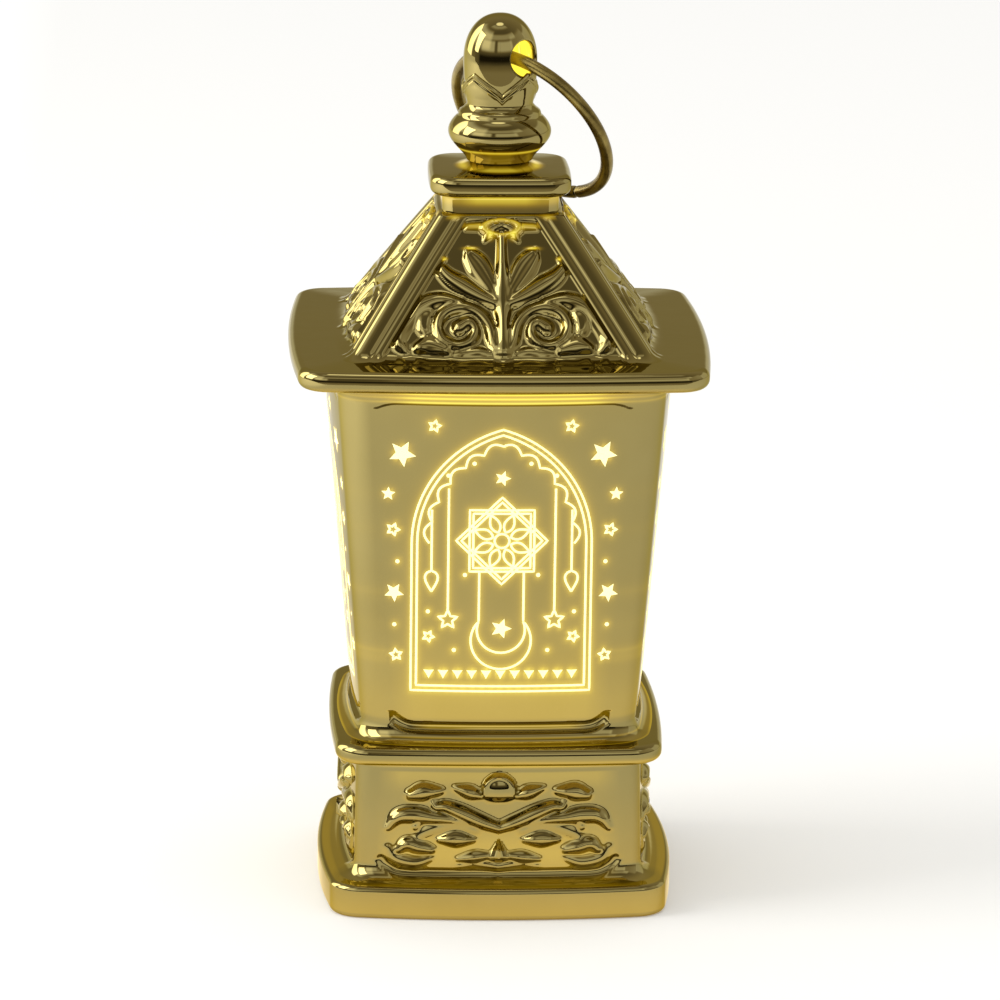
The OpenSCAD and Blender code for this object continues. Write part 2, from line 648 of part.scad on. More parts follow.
// Cap and finial in one moulding. The plate is a loop of sections and the finial is turned.
foot_corner_share = 0.55;
waist_corner_share = 0.95;
function neck_at(z, off) = section(z, neck_half, cap_bow_r, neck_corner_r, off);
function finial_foot(z, half, corner_share) =
    section(z, half, half / cos(45 * corner_share), half * corner_share, 0);
cap_in_z = cap_top_z - wall_t;
core_r = bead_waist_r - wall_t;
finial_root_z = cap_top_z + finial_foot_h;
neck_cove_r = (cap_half - cap_edge_r - neck_half) / 2;
cap_sections = concat(
    [neck_at(spigot_low_z, socket_off), neck_at(roof_top_z, socket_off)],
    [neck_at(roof_top_z, 0)],
    [for (s = edge_shares)
        neck_at(cap_low_z - neck_cove_r * fall_of(s), neck_cove_r * rise_of(s))],
    low_edge(cap_low_z, cap_form, cap_edge_r),
    high_edge(cap_top_z, cap_form, cap_edge_r),
    [for (s = edge_shares) finial_foot(cap_top_z + finial_foot_h * rise_of(s),
        foot_waist_r - wall_t / 2 + (finial_foot_half - foot_waist_r + wall_t / 2) * fall_of(s),
        waist_corner_share + (foot_corner_share - waist_corner_share) * fall_of(s))],
    [finial_foot(finial_root_z, core_r, waist_corner_share),
        finial_foot(cap_in_z, core_r, waist_corner_share),
        neck_at(cap_in_z, socket_off - spigot_t), neck_at(spigot_low_z, socket_off - spigot_t)]);

// A stretch of the turned finial, from its crest at r1, z1 to its foot at r0, z0
swell_steps = 6;
function swell(r1, z1, r0, z0, power) =
    [for (i = [0:swell_steps]) let (s = i / swell_steps)
        [r0 + (r1 - r0) * pow(cos(90 * s), power), z1 + (z0 - z1) * s]];
function reversed(list) = [for (i = [len(list) - 1:-1:0]) list[i]];
// The egg of the bulb: a quarter of a slightly squared ellipse, from its girth to its tip
egg_steps = 10;
egg_power = 2.2;
function egg(r, z, h) =
    [for (i = [0:egg_steps]) let (s = sin(90 * i / egg_steps))
        [r * pow(max(0, 1 - pow(s, egg_power)), 1 / egg_power), z + h * s]];
bulb_z = tip_z - bulb_h;
knob_z = cap_top_z + knob_rise;
bead_z = cap_top_z + bead_rise;
waist_z = cap_top_z + waist_rise;
cup_z = cap_top_z + cup_rise;
foot_waist_z = cap_top_z + finial_foot_h * 0.75;
bulb_root_share = 0.97;
cup_seat_z = (bulb_z + 2 * cup_z) / 3;
finial_profile = concat(
    [[core_r, foot_waist_z]],
    reversed(swell(knob_r, knob_z, foot_waist_r, foot_waist_z, 1.5)),
    swell(knob_r, knob_z, bead_r, bead_z, 0.8),
    [[bead_r, bead_z + (waist_z - bead_z) / 4]],
    [[bead_r - (bead_r - bead_waist_r) / 4, (bead_z + waist_z) / 2]],
    reversed(swell(cup_r, cup_z, bead_waist_r, waist_z, 1)),
    [[bulb_r * bulb_root_share, cup_seat_z]],
    egg(bulb_r, bulb_z, bulb_h));
finial_cavity = concat(
    [[0, foot_waist_z], [core_r, foot_waist_z], [core_r, cup_z]],
    egg(bulb_r - wall_t, bulb_z, bulb_h - wall_t));
module ring_frame() {
    translate([0, 0, ring_hole_z]) rotate([0, 0, ring_turn - 90]) children();
}
module finial_cap() {
    color(gold) difference() {
        union() {
            shell(cap_sections);
            rotate_extrude() polygon(concat([[0, foot_waist_z]], finial_profile));
        }
        rotate_extrude() polygon(finial_cavity);
        translate([0, 0, foot_waist_z - over]) cylinder(r = core_r, h = 2 * over);
        ring_frame() rotate([0, 90, 0])
            cylinder(r = ring_hole_r, h = 2 * (bulb_r + over), center = true);
    }
}

// Carry ring, lying back on the rear right ridge of the roof
seam_turn = ring_seam / ring_r * 180 / PI;
module carry_ring() {
    color(brass) ring_frame() rotate([-ring_tilt, 0, 0]) translate([0, ring_r, 0])
        rotate([0, 0, 90 - ring_seam_turn + seam_turn / 2])
            rotate_extrude(angle = 360 - seam_turn, $fn = 96)
                translate([ring_r, 0]) circle(r = ring_wire_r);
}

// Base plate with the battery case on its back
base_half = foot_half - foot_land_w - fit_gap;
cell_count = 3;
stack_l = cell_count * cell_t;
contact_room = contact_t + dimple_h;
case_in_l = stack_l + 2 * contact_room;
case_in_w = 2 * (cell_r + cell_gap);
case_l = case_in_l + 2 * case_t;
case_w = case_in_w + 2 * case_t;
case_in_top_z = case_top_z - case_t;
// The door is wider than the battery opening by its lap, and longer by its screw end
door_half_w = case_in_w / 2 + door_lap;
door_low_x = -case_in_l / 2 - door_lap;
door_high_x = case_in_l / 2 + door_tail;
door_screw_x = case_l / 2 + (door_high_x - case_l / 2) / 2;
door_boss_r = door_screw_r + case_t;
door_boss_h = door_screw_l + case_t;
head_gap = small_gap;
tab_slot_t = contact_t + 2 * small_gap;
contact_x = case_in_l / 2 - contact_t;
tab_side_x = contact_x - wire_r - small_gap;
board_l = 2 * (tab_side_x - wire_r - board_end_gap);
board_peg_x = board_l / 2 - peg_inset;
board_peg_y = board_w / 2 - peg_inset;
knob_slot_l = knob_l + knob_travel + 2 * small_gap;
knob_slot_w = knob_w + 2 * small_gap;
screw_pocket_h = screw_head_h + head_gap;

module block(low, high) {
    translate(low) cube(high - low);
}
module at_pegs() {
    for (side = [-1, 1]) translate([side * board_peg_x, side * board_peg_y, 0]) children();
}
module base_plate() {
    color(ivory) difference() {
        union() {
            translate([0, 0, base_low_z]) linear_extrude(base_t) polygon(outline(base_half,
                foot_bow_r - foot_land_w - fit_gap, foot_corner_r - foot_land_w - fit_gap));
            block([-case_l / 2, -case_w / 2, seat_z - over], [case_l / 2, case_w / 2, case_top_z]);
            translate([door_screw_x, 0, base_low_z]) cylinder(r = door_boss_r,
                h = base_t + door_boss_h);
            at_pegs() translate([0, 0, case_top_z - over])
                cylinder(r = peg_r, h = board_t + over);
        }
        block([-case_in_l / 2, -case_in_w / 2, base_low_z - over],
            [case_in_l / 2, case_in_w / 2, case_in_top_z]);
        block([door_low_x - small_gap, -door_half_w - small_gap, base_low_z - over],
            [door_high_x + small_gap, door_half_w + small_gap, door_top_z]);
        translate([door_screw_x, 0, base_low_z])
            cylinder(r = door_screw_r + small_gap / 2, h = base_t + door_screw_l);
        for (side = [-1, 1]) translate([side * (contact_x + contact_t / 2), 0, case_in_top_z - over])
            block([-tab_slot_t / 2, -tab_w / 2 - small_gap, 0],
                [tab_slot_t / 2, tab_w / 2 + small_gap, case_t + 2 * over]);
        at_bosses() translate([0, 0, base_low_z - over])
            cylinder(r = screw_r + fit_gap, h = base_t + 2 * over);
        at_bosses() translate([0, 0, base_low_z - over])
            cylinder(r = screw_head_r + fit_gap, h = screw_pocket_h + over);
        block([-knob_slot_l / 2, switch_y - knob_slot_w / 2, base_low_z - over],
            [knob_slot_l / 2, switch_y + knob_slot_w / 2, seat_z + over]);
    }
}

// A pan head screw, head down, with its head's bearing face at z = 0
module screw(r, l, head_r, head_h) {
    difference() {
        union() {
            cylinder(r = r, h = l);
            translate([0, 0, -head_h]) cylinder(r = head_r, h = head_h);
        }
        block([-head_r - over, -screw_slot_w / 2, -head_h - over],
            [head_r + over, screw_slot_w / 2, -head_h / 2]);
    }
}
module base_screws() {
    color(steel) at_bosses() translate([0, 0, base_low_z + screw_pocket_h])
        screw(screw_r, screw_l, screw_head_r, screw_head_h);
}

// Battery door, let into the underside of the base plate
door_pocket_h = door_screw_head_h + head_gap;
module battery_door() {
    color(ivory) difference() {
        block([door_low_x, -door_half_w, base_low_z], [door_high_x, door_half_w, door_top_z]);
        translate([door_screw_x, 0, base_low_z - over])
            cylinder(r = door_screw_r + fit_gap, h = door_t + 2 * over);
        translate([door_screw_x, 0, base_low_z - over])
            cylinder(r = door_screw_head_r + fit_gap, h = door_pocket_h + over);
    }
}
module door_screw() {
    color(steel) translate([door_screw_x, 0, base_low_z + door_pocket_h])
        screw(door_screw_r, door_screw_l, door_screw_head_r, door_screw_head_h);
}

// A button cell at its place in the row, counted from -X, with its small pole towards -X
module battery_cell(place) {
    color(steel) translate([-stack_l / 2 + (place - 1) * cell_t, 0, cell_z]) rotate([0, 90, 0]) {
        cylinder(r = cell_pole_r, h = cell_pole_h);
        translate([0, 0, cell_pole_h]) cylinder(r = cell_r, h = cell_t - cell_pole_h);
    }
}
// A contact strip with a pressed dimple and a solder tab, facing -X from the plane x = 0
module contact() {
    block([0, -contact_w / 2, cell_z - cell_r + cell_gap],
        [contact_t, contact_w / 2, case_in_top_z - small_gap]);
    block([0, -tab_w / 2, case_in_top_z - case_t], [contact_t, tab_w / 2, case_top_z + tab_h]);
    translate([contact_t / 2, 0, cell_z]) rotate([0, -90, 0])
        cylinder(r1 = dimple_r, r2 = dimple_r / 2, h = dimple_h + contact_t / 2);
}
module positive_contact() {
    color(steel) translate([contact_x, 0, 0]) contact();
}
module negative_contact() {
    color(steel) rotate([0, 0, 180]) translate([contact_x, 0, 0]) contact();
}

// Slide switch on the back of the base plate, its knob through the slot
knob_flange_l = knob_l + knob_travel;
knob_flange_h = (switch_h - switch_wall) / 2;
knob_flange_w = switch_w - 2 * switch_wall - 2 * small_gap;
switch_in_l = knob_flange_l + knob_travel + 2 * small_gap;
module switch_housing() {
    color(steel) difference() {
        block([-switch_l / 2, switch_y - switch_w / 2, seat_z],
            [switch_l / 2, switch_y + switch_w / 2, seat_z + switch_h]);
        block([-switch_in_l / 2, switch_y - switch_w / 2 + switch_wall, seat_z + switch_wall],
            [switch_in_l / 2, switch_y + switch_w / 2 - switch_wall,
                seat_z + switch_h - switch_wall]);
        block([-knob_slot_l / 2, switch_y - knob_slot_w / 2, seat_z - over],
            [knob_slot_l / 2, switch_y + knob_slot_w / 2, seat_z + switch_wall + over]);
    }
}
// The knob rests at the off end, towards -X
knob_x = -knob_travel / 2;
module switch_knob() {
    color(black_plastic) translate([knob_x, switch_y, 0]) {
        block([-knob_l / 2, -knob_w / 2, knob_rise_floor],
            [knob_l / 2, knob_w / 2, seat_z + switch_wall + knob_flange_h]);
        block([-knob_flange_l / 2, -knob_flange_w / 2, seat_z + switch_wall + small_gap],
            [knob_flange_l / 2, knob_flange_w / 2, seat_z + switch_wall + knob_flange_h]);
    }
}
module switch_terminals() {
    color(brass) for (i = [-1:1]) translate([i * terminal_pitch, switch_y, seat_z + switch_h])
        block([-terminal_w / 2, -terminal_t / 2, 0], [terminal_w / 2, terminal_t / 2, terminal_h]);
}

// Circuit board on top of the battery case, with the LED standing on its spacer
lead_hole_r = lead_r + small_gap;
module at_leads() {
    for (side = [-1, 1]) translate([side * lead_pitch / 2, 0, 0]) children();
}
module circuit_board() {
    color(board_green) difference() {
        block([-board_l / 2, -board_w / 2, board_low_z], [board_l / 2, board_w / 2, board_top_z]);
        at_pegs() translate([0, 0, board_low_z - over])
            cylinder(r = peg_r + small_gap, h = board_t + 2 * over);
        at_leads() translate([0, 0, board_low_z - over])
            cylinder(r = lead_hole_r, h = board_t + 2 * over);
    }
}
resistor_y = -board_w / 2 + resistor_r + small_gap;
resistor_half = resistor_l / 2 + resistor_lead;
module resistor() {
    color("#c9a66b") translate([0, resistor_y, board_top_z + resistor_r]) {
        rotate([0, 90, 0]) cylinder(r = resistor_r, h = resistor_l, center = true);
        for (side = [-1, 1]) {
            rotate([0, 90 * side, 0]) cylinder(r = lead_r, h = resistor_half);
            translate([side * resistor_half, 0, 0]) {
                sphere(r = lead_r);
                translate([0, 0, -resistor_r]) cylinder(r = lead_r, h = resistor_r);
            }
        }
    }
}
module led_spacer() {
    color("white") difference() {
        translate([0, 0, board_top_z]) cylinder(r = spacer_r, h = spacer_h);
        at_leads() translate([0, 0, board_top_z - over])
            cylinder(r = lead_hole_r, h = spacer_h + 2 * over);
    }
}
module led() {
    color("#fff3c4") translate([0, 0, led_low_z]) {
        cylinder(r = led_flange_r, h = led_flange_h);
        cylinder(r = led_r, h = led_h - led_r);
        translate([0, 0, led_h - led_r]) sphere(r = led_r);
    }
}
module led_lead(side) {
    color(steel) translate([side * lead_pitch / 2, 0, board_low_z])
        cylinder(r = lead_r, h = led_low_z - board_low_z);
}
module led_lead_positive() {
    led_lead(1);
}
module led_lead_negative() {
    led_lead(-1);
}

// Insulated wires, each a run of straight lengths with round joints. A wire starts beside its
// solder tab or terminal and ends on the board's upper face.
module wire(points) {
    for (i = [0:len(points) - 2]) let (v = points[i + 1] - points[i], l = norm(v))
        translate(points[i]) rotate([0, acos(v.z / l), atan2(v.y, v.x)])
            cylinder(r = wire_r, h = l);
    if (len(points) > 2)
        for (i = [1:len(points) - 2]) translate(points[i]) sphere(r = wire_r);
}
wire_top_z = case_top_z + wire_arch_h;
board_side_x = board_l / 2 - wire_r;
terminal_side_y = switch_y - terminal_t / 2 - wire_r - small_gap;
wire_span_y = board_w / 4;
module red_wire() {
    color(red_pvc) wire([[tab_side_x, 0, case_top_z + wire_r + small_gap],
        [tab_side_x, 0, wire_top_z], [tab_side_x, -wire_span_y, wire_top_z],
        [board_side_x, -wire_span_y, wire_top_z], [board_side_x, -wire_span_y, board_top_z]]);
}
module black_wire() {
    color(black_plastic) wire([[-tab_side_x, 0, case_top_z + wire_r + small_gap],
        [-tab_side_x, 0, wire_top_z], [-tab_side_x, terminal_side_y, wire_top_z],
        [-terminal_pitch, terminal_side_y, wire_top_z],
        [-terminal_pitch, terminal_side_y, seat_z + switch_h + wire_r]]);
}
module switch_wire() {
    color(black_plastic) wire([[0, board_w / 2 - wire_r, board_top_z],
        [0, board_w / 2 - wire_r, wire_top_z], [0, terminal_side_y, wire_top_z],
        [0, terminal_side_y, seat_z + switch_h + wire_r]]);
}

finial_cap();
roof_shell();
body_shell();
plinth_shell();
base_plate();
base_screws();
battery_door();
door_screw();
battery_cell(1);  // battery_cell_1
battery_cell(2);  // battery_cell_2
battery_cell(3);  // battery_cell_3
positive_contact();
negative_contact();
switch_housing();
switch_knob();
switch_terminals();
circuit_board();
resistor();
led_spacer();
led();
led_lead_positive();
led_lead_negative();
red_wire();
black_wire();
switch_wire();
carry_ring();
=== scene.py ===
"""Looks of a ramadan fanous lantern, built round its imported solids, in their frame, with the
front towards -Y. Sizes are in millimetres here, and in metres in a mesh, a node or a lamp."""

import math

import bpy
import numpy as np
from mathutils import Matrix, Quaternion, Vector


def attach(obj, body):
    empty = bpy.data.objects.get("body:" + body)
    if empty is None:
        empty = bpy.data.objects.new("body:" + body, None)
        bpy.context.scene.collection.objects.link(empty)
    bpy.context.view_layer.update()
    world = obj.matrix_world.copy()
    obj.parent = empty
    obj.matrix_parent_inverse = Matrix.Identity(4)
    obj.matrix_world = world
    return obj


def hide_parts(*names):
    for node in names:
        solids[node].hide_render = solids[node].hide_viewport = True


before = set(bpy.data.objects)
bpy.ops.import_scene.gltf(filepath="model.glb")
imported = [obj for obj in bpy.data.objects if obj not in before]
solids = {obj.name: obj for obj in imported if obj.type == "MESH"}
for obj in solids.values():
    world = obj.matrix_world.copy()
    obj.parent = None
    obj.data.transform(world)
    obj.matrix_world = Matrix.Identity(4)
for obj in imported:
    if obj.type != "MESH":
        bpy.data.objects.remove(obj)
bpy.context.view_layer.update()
mm = 0.001


# Camera. It stands about a metre away, slightly left of the front and 13.6 degrees above the
# level, with a long lens, and leans by half a degree as the photograph does.
def placed(name, data):
    made = bpy.data.objects.new(name, data)
    bpy.context.scene.collection.objects.link(made)
    return made


def aimed(made, place, aim, lean=0.0):
    """Stands a camera or a lamp at a place, turned towards another and leaning by some degrees"""
    made.location = place
    made.rotation_mode = "QUATERNION"
    facing = (Vector(aim) - Vector(place)).to_track_quat("-Z", "Y")
    made.rotation_quaternion = facing @ Quaternion((0, 0, 1), math.radians(lean))


camera_data = bpy.data.cameras.new("camera")
camera_data.lens, camera_data.sensor_width = 243.62, 36
camera_data.clip_start, camera_data.clip_end = 0.05, 20
camera = placed("camera", camera_data)
aimed(camera, (-0.040496, -1.043214, 0.320356), (0.000628, 0, 0.061217), 0.565)
bpy.context.scene.camera = camera

# Plinth shell. A hollow foot with a ledge on top, injection moulded in warm ivory plastic and
# vacuum-metallised in mirror gold. Its scrolls are pressed in the mould. Plain yellow light is
# painted into its creases, onto the foot's rim and the ledge's lower edge, and faintly onto the
# wall between the scrolls.
foot_form, foot_top, foot_edge, foot_land = (28.2, 147, 5.3), 5.2, 0.9, 3.6
plinth_low_half, plinth_top_half, plinth_bow, plinth_corner, plinth_cove = 24, 23.6, 150, 4, 2.6
ledge_form, ledge_low, ledge_top, ledge_edge, ledge_cove = (26.4, 296, 5.6), 24.5, 27.6, 1.3, 0.8
wall, seat_level, collar_form, collar_top = 1.6, 2.8, (22.75, 116, 6), 31.6
spigot_off, spigot_in = -1.75, -3.15
knob_level, knob_radius, knob_rise = 20.1, 2.8, 1.25
bud_top, bud_half, bud_rise = 12.1, 2.35, 1.3
shoulder = 22.6
plinth_shares, plinth_turns = np.linspace(-1, 1, 141), 12
# Sine and cosine of the quarter turn to each of the four sides
quarters = ((0, 1), (1, 0), (0, -1), (-1, 0))


def corner_of(form, off):
    """Middle of a corner's round, the angle where it starts, and where its side ends. A form is
    a section's half width, the bow radius of its sides and the radius of its corners"""
    half, bow, corner = (v + off for v in form)
    inner, rise = bow - corner, bow - half
    c = (math.sqrt(2 * inner * inner - rise * rise) - rise) / 2
    lean = math.atan2(c, c + bow - half)
    return c, lean, c + corner * math.sin(lean)


def bowed_square(z, form, off, side, turns):
    """Points round a square with bowed sides and round corners, from the right side's start.
    side gives the places along a side, as shares of its half or as a function of that half"""
    half, bow, corner = (v + off for v in form)
    c, lean, end = corner_of(form, off)
    y = side(end) if callable(side) else side * end
    a = lean + (math.pi / 2 - 2 * lean) * np.arange(1, turns + 1) / (turns + 1)
    x = np.append(half - bow + np.sqrt(bow * bow - y * y), c + corner * np.cos(a))
    y = np.append(y, c + corner * np.sin(a))
    return np.concatenate([np.stack([x * k - y * s, x * s + y * k, np.full(len(x), z)], 1)
                           for s, k in quarters])


def sections(course, side, turns):
    """Rows of points for a run of sections, each given as its level, form and offset"""
    return np.array([bowed_square(*section, side, turns) for section in course])


def at(z, form, off=0):
    """A section at a level, where the form may change with the level"""
    return z, form(z) if callable(form) else form, off


def tapered(low, low_half, top, top_half, bow, corner):
    """A form whose half width changes evenly with the level"""
    return lambda z: (low_half + (top_half - low_half) * (z - low) / (top - low), bow, corner)


def steps(count):
    return np.arange(count + 1) / count


def curve_up(z, form, rise, reach, count):
    """Sections up a quarter round that starts level: the lower edge of a plate, where the reach
    is below zero, or a cove that leaves a ledge"""
    return [at(z + rise * (1 - math.cos(t)), form, reach * (1 - math.sin(t)))
            for t in steps(count) * math.pi / 2]


def curve_in(z, form, rise, reach, count):
    """Sections up a quarter round that ends level: an upper edge, or a cove under a ledge"""
    return [at(z - rise * (1 - math.sin(t)), form, reach * (1 - math.cos(t)))
            for t in steps(count) * math.pi / 2]


def plate(low, top, form, edge, count=9):
    return curve_up(low, form, edge, -edge, count) + curve_in(top, form, edge, -edge, count)


def level_runs(*runs):
    """Levels in runs of their own spacing, each a start, a stop and a count, without either end"""
    return np.concatenate([np.linspace(*run)[1:] for run in runs])[:-1]


def side_grid(course, side):
    """Places along the sides of a run of sections, their levels, and where each side ends"""
    ends = [corner_of(form, off)[2] for _, form, off in course]
    u = np.array([side(end) if callable(side) else side * end for end in ends])
    z = np.repeat([section[0] for section in course], u.shape[1]).reshape(u.shape)
    return u, z, np.array(ends)[:, None]


def raised(rows, run, relief, light, bend_light=0):
    """Lifts the four sides of a run of sections by a relief along their normals, and gives the
    yellow light each point carries, the lamp's light round the engraved lines and painted light
    elsewhere, on the sides and on the bends between them"""
    normal = np.cross(np.roll(rows, -1, 1) - np.roll(rows, 1, 1), np.gradient(rows, axis=0))
    normal /= np.maximum(np.linalg.norm(normal, axis=2, keepdims=True), 1e-9)
    glow = np.zeros(rows.shape[:2])
    glow[run] = bend_light
    for start in range(0, rows.shape[1], rows.shape[1] // 4):
        side = slice(start, start + relief.shape[1])
        rows[run, side] += normal[run, side] * relief[:, :, None]
        glow[run, side] = light
    return glow


def smooth_path(points, spacing=0.25):
    """A smooth curve through the points, with whatever else each point carries"""
    p = np.array(points, float)
    p = np.concatenate([[2 * p[0] - p[1]], p, [2 * p[-1] - p[-2]]])
    out = []
    for before, a, b, after in zip(p, p[1:], p[2:], p[3:]):
        n = max(2, int(np.linalg.norm((b - a)[:2]) / spacing))
        for t in np.arange(n) / n:
            out.append(0.5 * (2 * a + (b - before) * t + (2 * before - 5 * a + 4 * b - after) * t * t
                              + (3 * a - before - 3 * b + after) * t ** 3))
    return np.array(out + [p[-2]])


def path_distance(u, z, path):
    """Distance to a path, and the third value that the path carries there"""
    far, carried = np.full(u.shape, 1e9), np.zeros(u.shape)
    for a, b in zip(path[:-1], path[1:]):
        d = b[:2] - a[:2]
        t = np.clip(((u - a[0]) * d[0] + (z - a[1]) * d[1]) / max(d @ d, 1e-12), 0, 1)
        away = np.hypot(u - a[0] - t * d[0], z - a[1] - t * d[1])
        near = away < far
        far = np.where(near, away, far)
        if len(a) > 2:
            carried = np.where(near, a[2] + t * (b[2] - a[2]), carried)
    return far, carried


def carved(u, z, strokes, breadth=1.25, blend=9.0):
    """Height of leaves and scrolls over a ground. A stroke is its height, its vein's depth and
    its points, each with a half width, and it stands on both sides of the middle"""
    total = np.zeros(u.shape)
    for height, vein, points in strokes:
        path = smooth_path(points)
        for side in (1, -1):
            away, width = path_distance(u * side, z, path)
            share = away / np.maximum(width * breadth, 0.15)
            leaf = height * np.minimum(1, width / 0.9) * np.clip(1 - share ** 2, 0, None) ** 1.15
            leaf = leaf * (1 - vein * np.exp(-(share / 0.42) ** 2))
            total = np.log(np.exp(blend * total) + np.exp(blend * leaf) - 1) / blend
    for _ in range(2):
        padded = np.pad(total, ((1, 1), (0, 0)), "edge")
        total = ((padded[:-2] + 2 * total + padded[2:]) / 4).T
    return total


def smile_groove(u, z, end_u, end_z, level, width, depth):
    """Depth of a shallow groove that runs across a panel and turns up or down at its ends"""
    rise = end_z - level
    turn = [(end_u, end_z), (end_u - 0.9, level + 0.55 * rise), (end_u - 2.4, level + 0.1 * rise),
            (end_u - 4.5, level), (end_u / 2, level)]
    away, _ = path_distance(u, z, smooth_path([(-p, q) for p, q in turn] + [(0, level)] + turn[::-1]))
    return depth * np.clip(1 - (away / width) ** 2, 0, None) ** 0.75


def bump_at(value, middle, reach):
    return np.exp(-((value - middle) / reach) ** 2)


def above(value, middle, reach):
    """Rises softly from 0 to 1 past a middle, or falls where the reach is below zero"""
    return 0.5 + 0.5 * np.tanh((value - middle) / (2 * reach))


def new_mesh(name, points, edges=(), faces=(), **values):
    """An object of plain geometry, with values that its points carry"""
    mesh = bpy.data.meshes.new(name)
    mesh.from_pydata((np.asarray(points) * mm).tolist(), edges, faces)
    for key, value in values.items():
        value = np.asarray(value, np.float32)
        kind, field = ("FLOAT_VECTOR", "vector") if value.ndim == 2 else ("FLOAT", "value")
        mesh.attributes.new(key, kind, "POINT").data.foreach_set(field, value.ravel())
    return placed(name, mesh)


def shell_object(name, rows, glow):
    """A closed skin over a loop of sections, with the lamp's light and the painted light at each point"""
    count, n = rows.shape[:2]
    i, j = np.meshgrid(np.arange(count), np.arange(n), indexing="ij")
    i2, j2 = (i + 1) % count, (j + 1) % n
    faces = np.stack([i * n + j, i * n + j2, i2 * n + j2, i2 * n + j], -1).reshape(-1, 4)
    made = new_mesh(name, rows.reshape(-1, 3), faces=faces.tolist(), glow=glow.ravel())
    made.data.polygons.foreach_set("use_smooth", np.ones(len(faces), bool))
    made.data.set_sharp_from_angle(angle=math.radians(55))
    made.data.update()
    return made


def joined(name, *parts):
    """One object from several closed shells of the same moulding"""
    bpy.ops.object.select_all(action="DESELECT")
    for part in parts:
        part.select_set(True)
    bpy.context.view_layer.objects.active = parts[0]
    bpy.ops.object.join()
    parts[0].name = parts[0].data.name = name
    return parts[0]


def linear(code):
    """A hex colour as linear light"""
    parts = [int(code[i:i + 2], 16) / 255 for i in (1, 3, 5)]
    return [p / 12.92 if p <= 0.04045 else ((p + 0.055) / 1.055) ** 2.4 for p in parts] + [1]


def add(tree, kind, inputs=None, **settings):
    """Adds a node with its settings and its inputs. An input is a value, a socket to link, or a
    node whose first output is linked"""
    made = tree.nodes.new(kind)
    for name, value in settings.items():
        setattr(made, name, value)
    for socket, value in (inputs or {}).items():
        if isinstance(value, bpy.types.Node):
            value = value.outputs[0]
        if isinstance(value, bpy.types.NodeSocket):
            tree.links.new(value, made.inputs[socket])
        else:
            made.inputs[socket].default_value = value
    return made


def noise(tree, where, scale, detail=2.0, roughness=0.5):
    return add(tree, "ShaderNodeTexNoise", {
        "Vector": where, "Scale": scale, "Detail": detail, "Roughness": roughness})


def mapped(tree, value, start, stop, low, high, **settings):
    """Turns a value's run from start to stop into one from low to high, held at its ends"""
    return add(tree, "ShaderNodeMapRange", {
        "Value": value, "From Min": start, "From Max": stop, "To Min": low, "To Max": high}, **settings)


def blended(tree, share, first, second):
    """A colour between two others"""
    return add(tree, "ShaderNodeMix", {0: share, 6: linear(first), 7: linear(second)},
               data_type="RGBA").outputs[2]


def worked(tree, operation, *values, **settings):
    """One step of arithmetic"""
    return add(tree, "ShaderNodeMath", dict(enumerate(values)), operation=operation, **settings)


def new_finish(name):
    """An empty material, its tree, and the piece's own coordinates in it"""
    finish = bpy.data.materials.new(name)
    finish.use_nodes = True
    finish.node_tree.nodes.clear()
    return finish, finish.node_tree, add(finish.node_tree, "ShaderNodeTexCoord").outputs["Object"]


def surfaced(tree, height, strength, distance, **inputs):
    """Ends a finish in one surface with a bump of that height"""
    inputs = {key.replace("_", " "): value for key, value in inputs.items()}
    inputs["Normal"] = add(tree, "ShaderNodeBump", {
        "Height": height, "Strength": strength, "Distance": distance})
    surface = add(tree, "ShaderNodeBsdfPrincipled", inputs)
    add(tree, "ShaderNodeOutputMaterial", {"Surface": surface})


# Vacuum-metallised plastic: a vapour-deposited aluminium film under a gold lacquer. The film
# gives a sharp mirror, the lacquer its khaki gold, and the moulding under it a faint ripple.
# Round the engraved lines the lamp's light under the thin film lights the gold plain yellow, and
# elsewhere the same plain yellow is painted light, in creases, on edges and on the scrolls.
mirror_gold, tree, where = new_finish("metallised_gold_skin")
lamp_and_painted_light = add(tree, "ShaderNodeAttribute", attribute_name="glow").outputs["Fac"]
surfaced(
    tree, noise(tree, where, 260, 2.0, 0.45), 0.5, 0.00003,
    Base_Color=blended(tree, noise(tree, where, 90, 3.0), "#938551", "#9d8f5b"), Metallic=1.0,
    Roughness=mapped(tree, noise(tree, where, 1900, 1.0), 0, 1, 0.015, 0.04),
    Specular_Tint=linear("#d3ccae"), Emission_Strength=lamp_and_painted_light,
    Emission_Color=blended(tree, mapped(tree, lamp_and_painted_light, 0.1, 0.7, 0, 1), "#ffca14", "#ffec4c"))

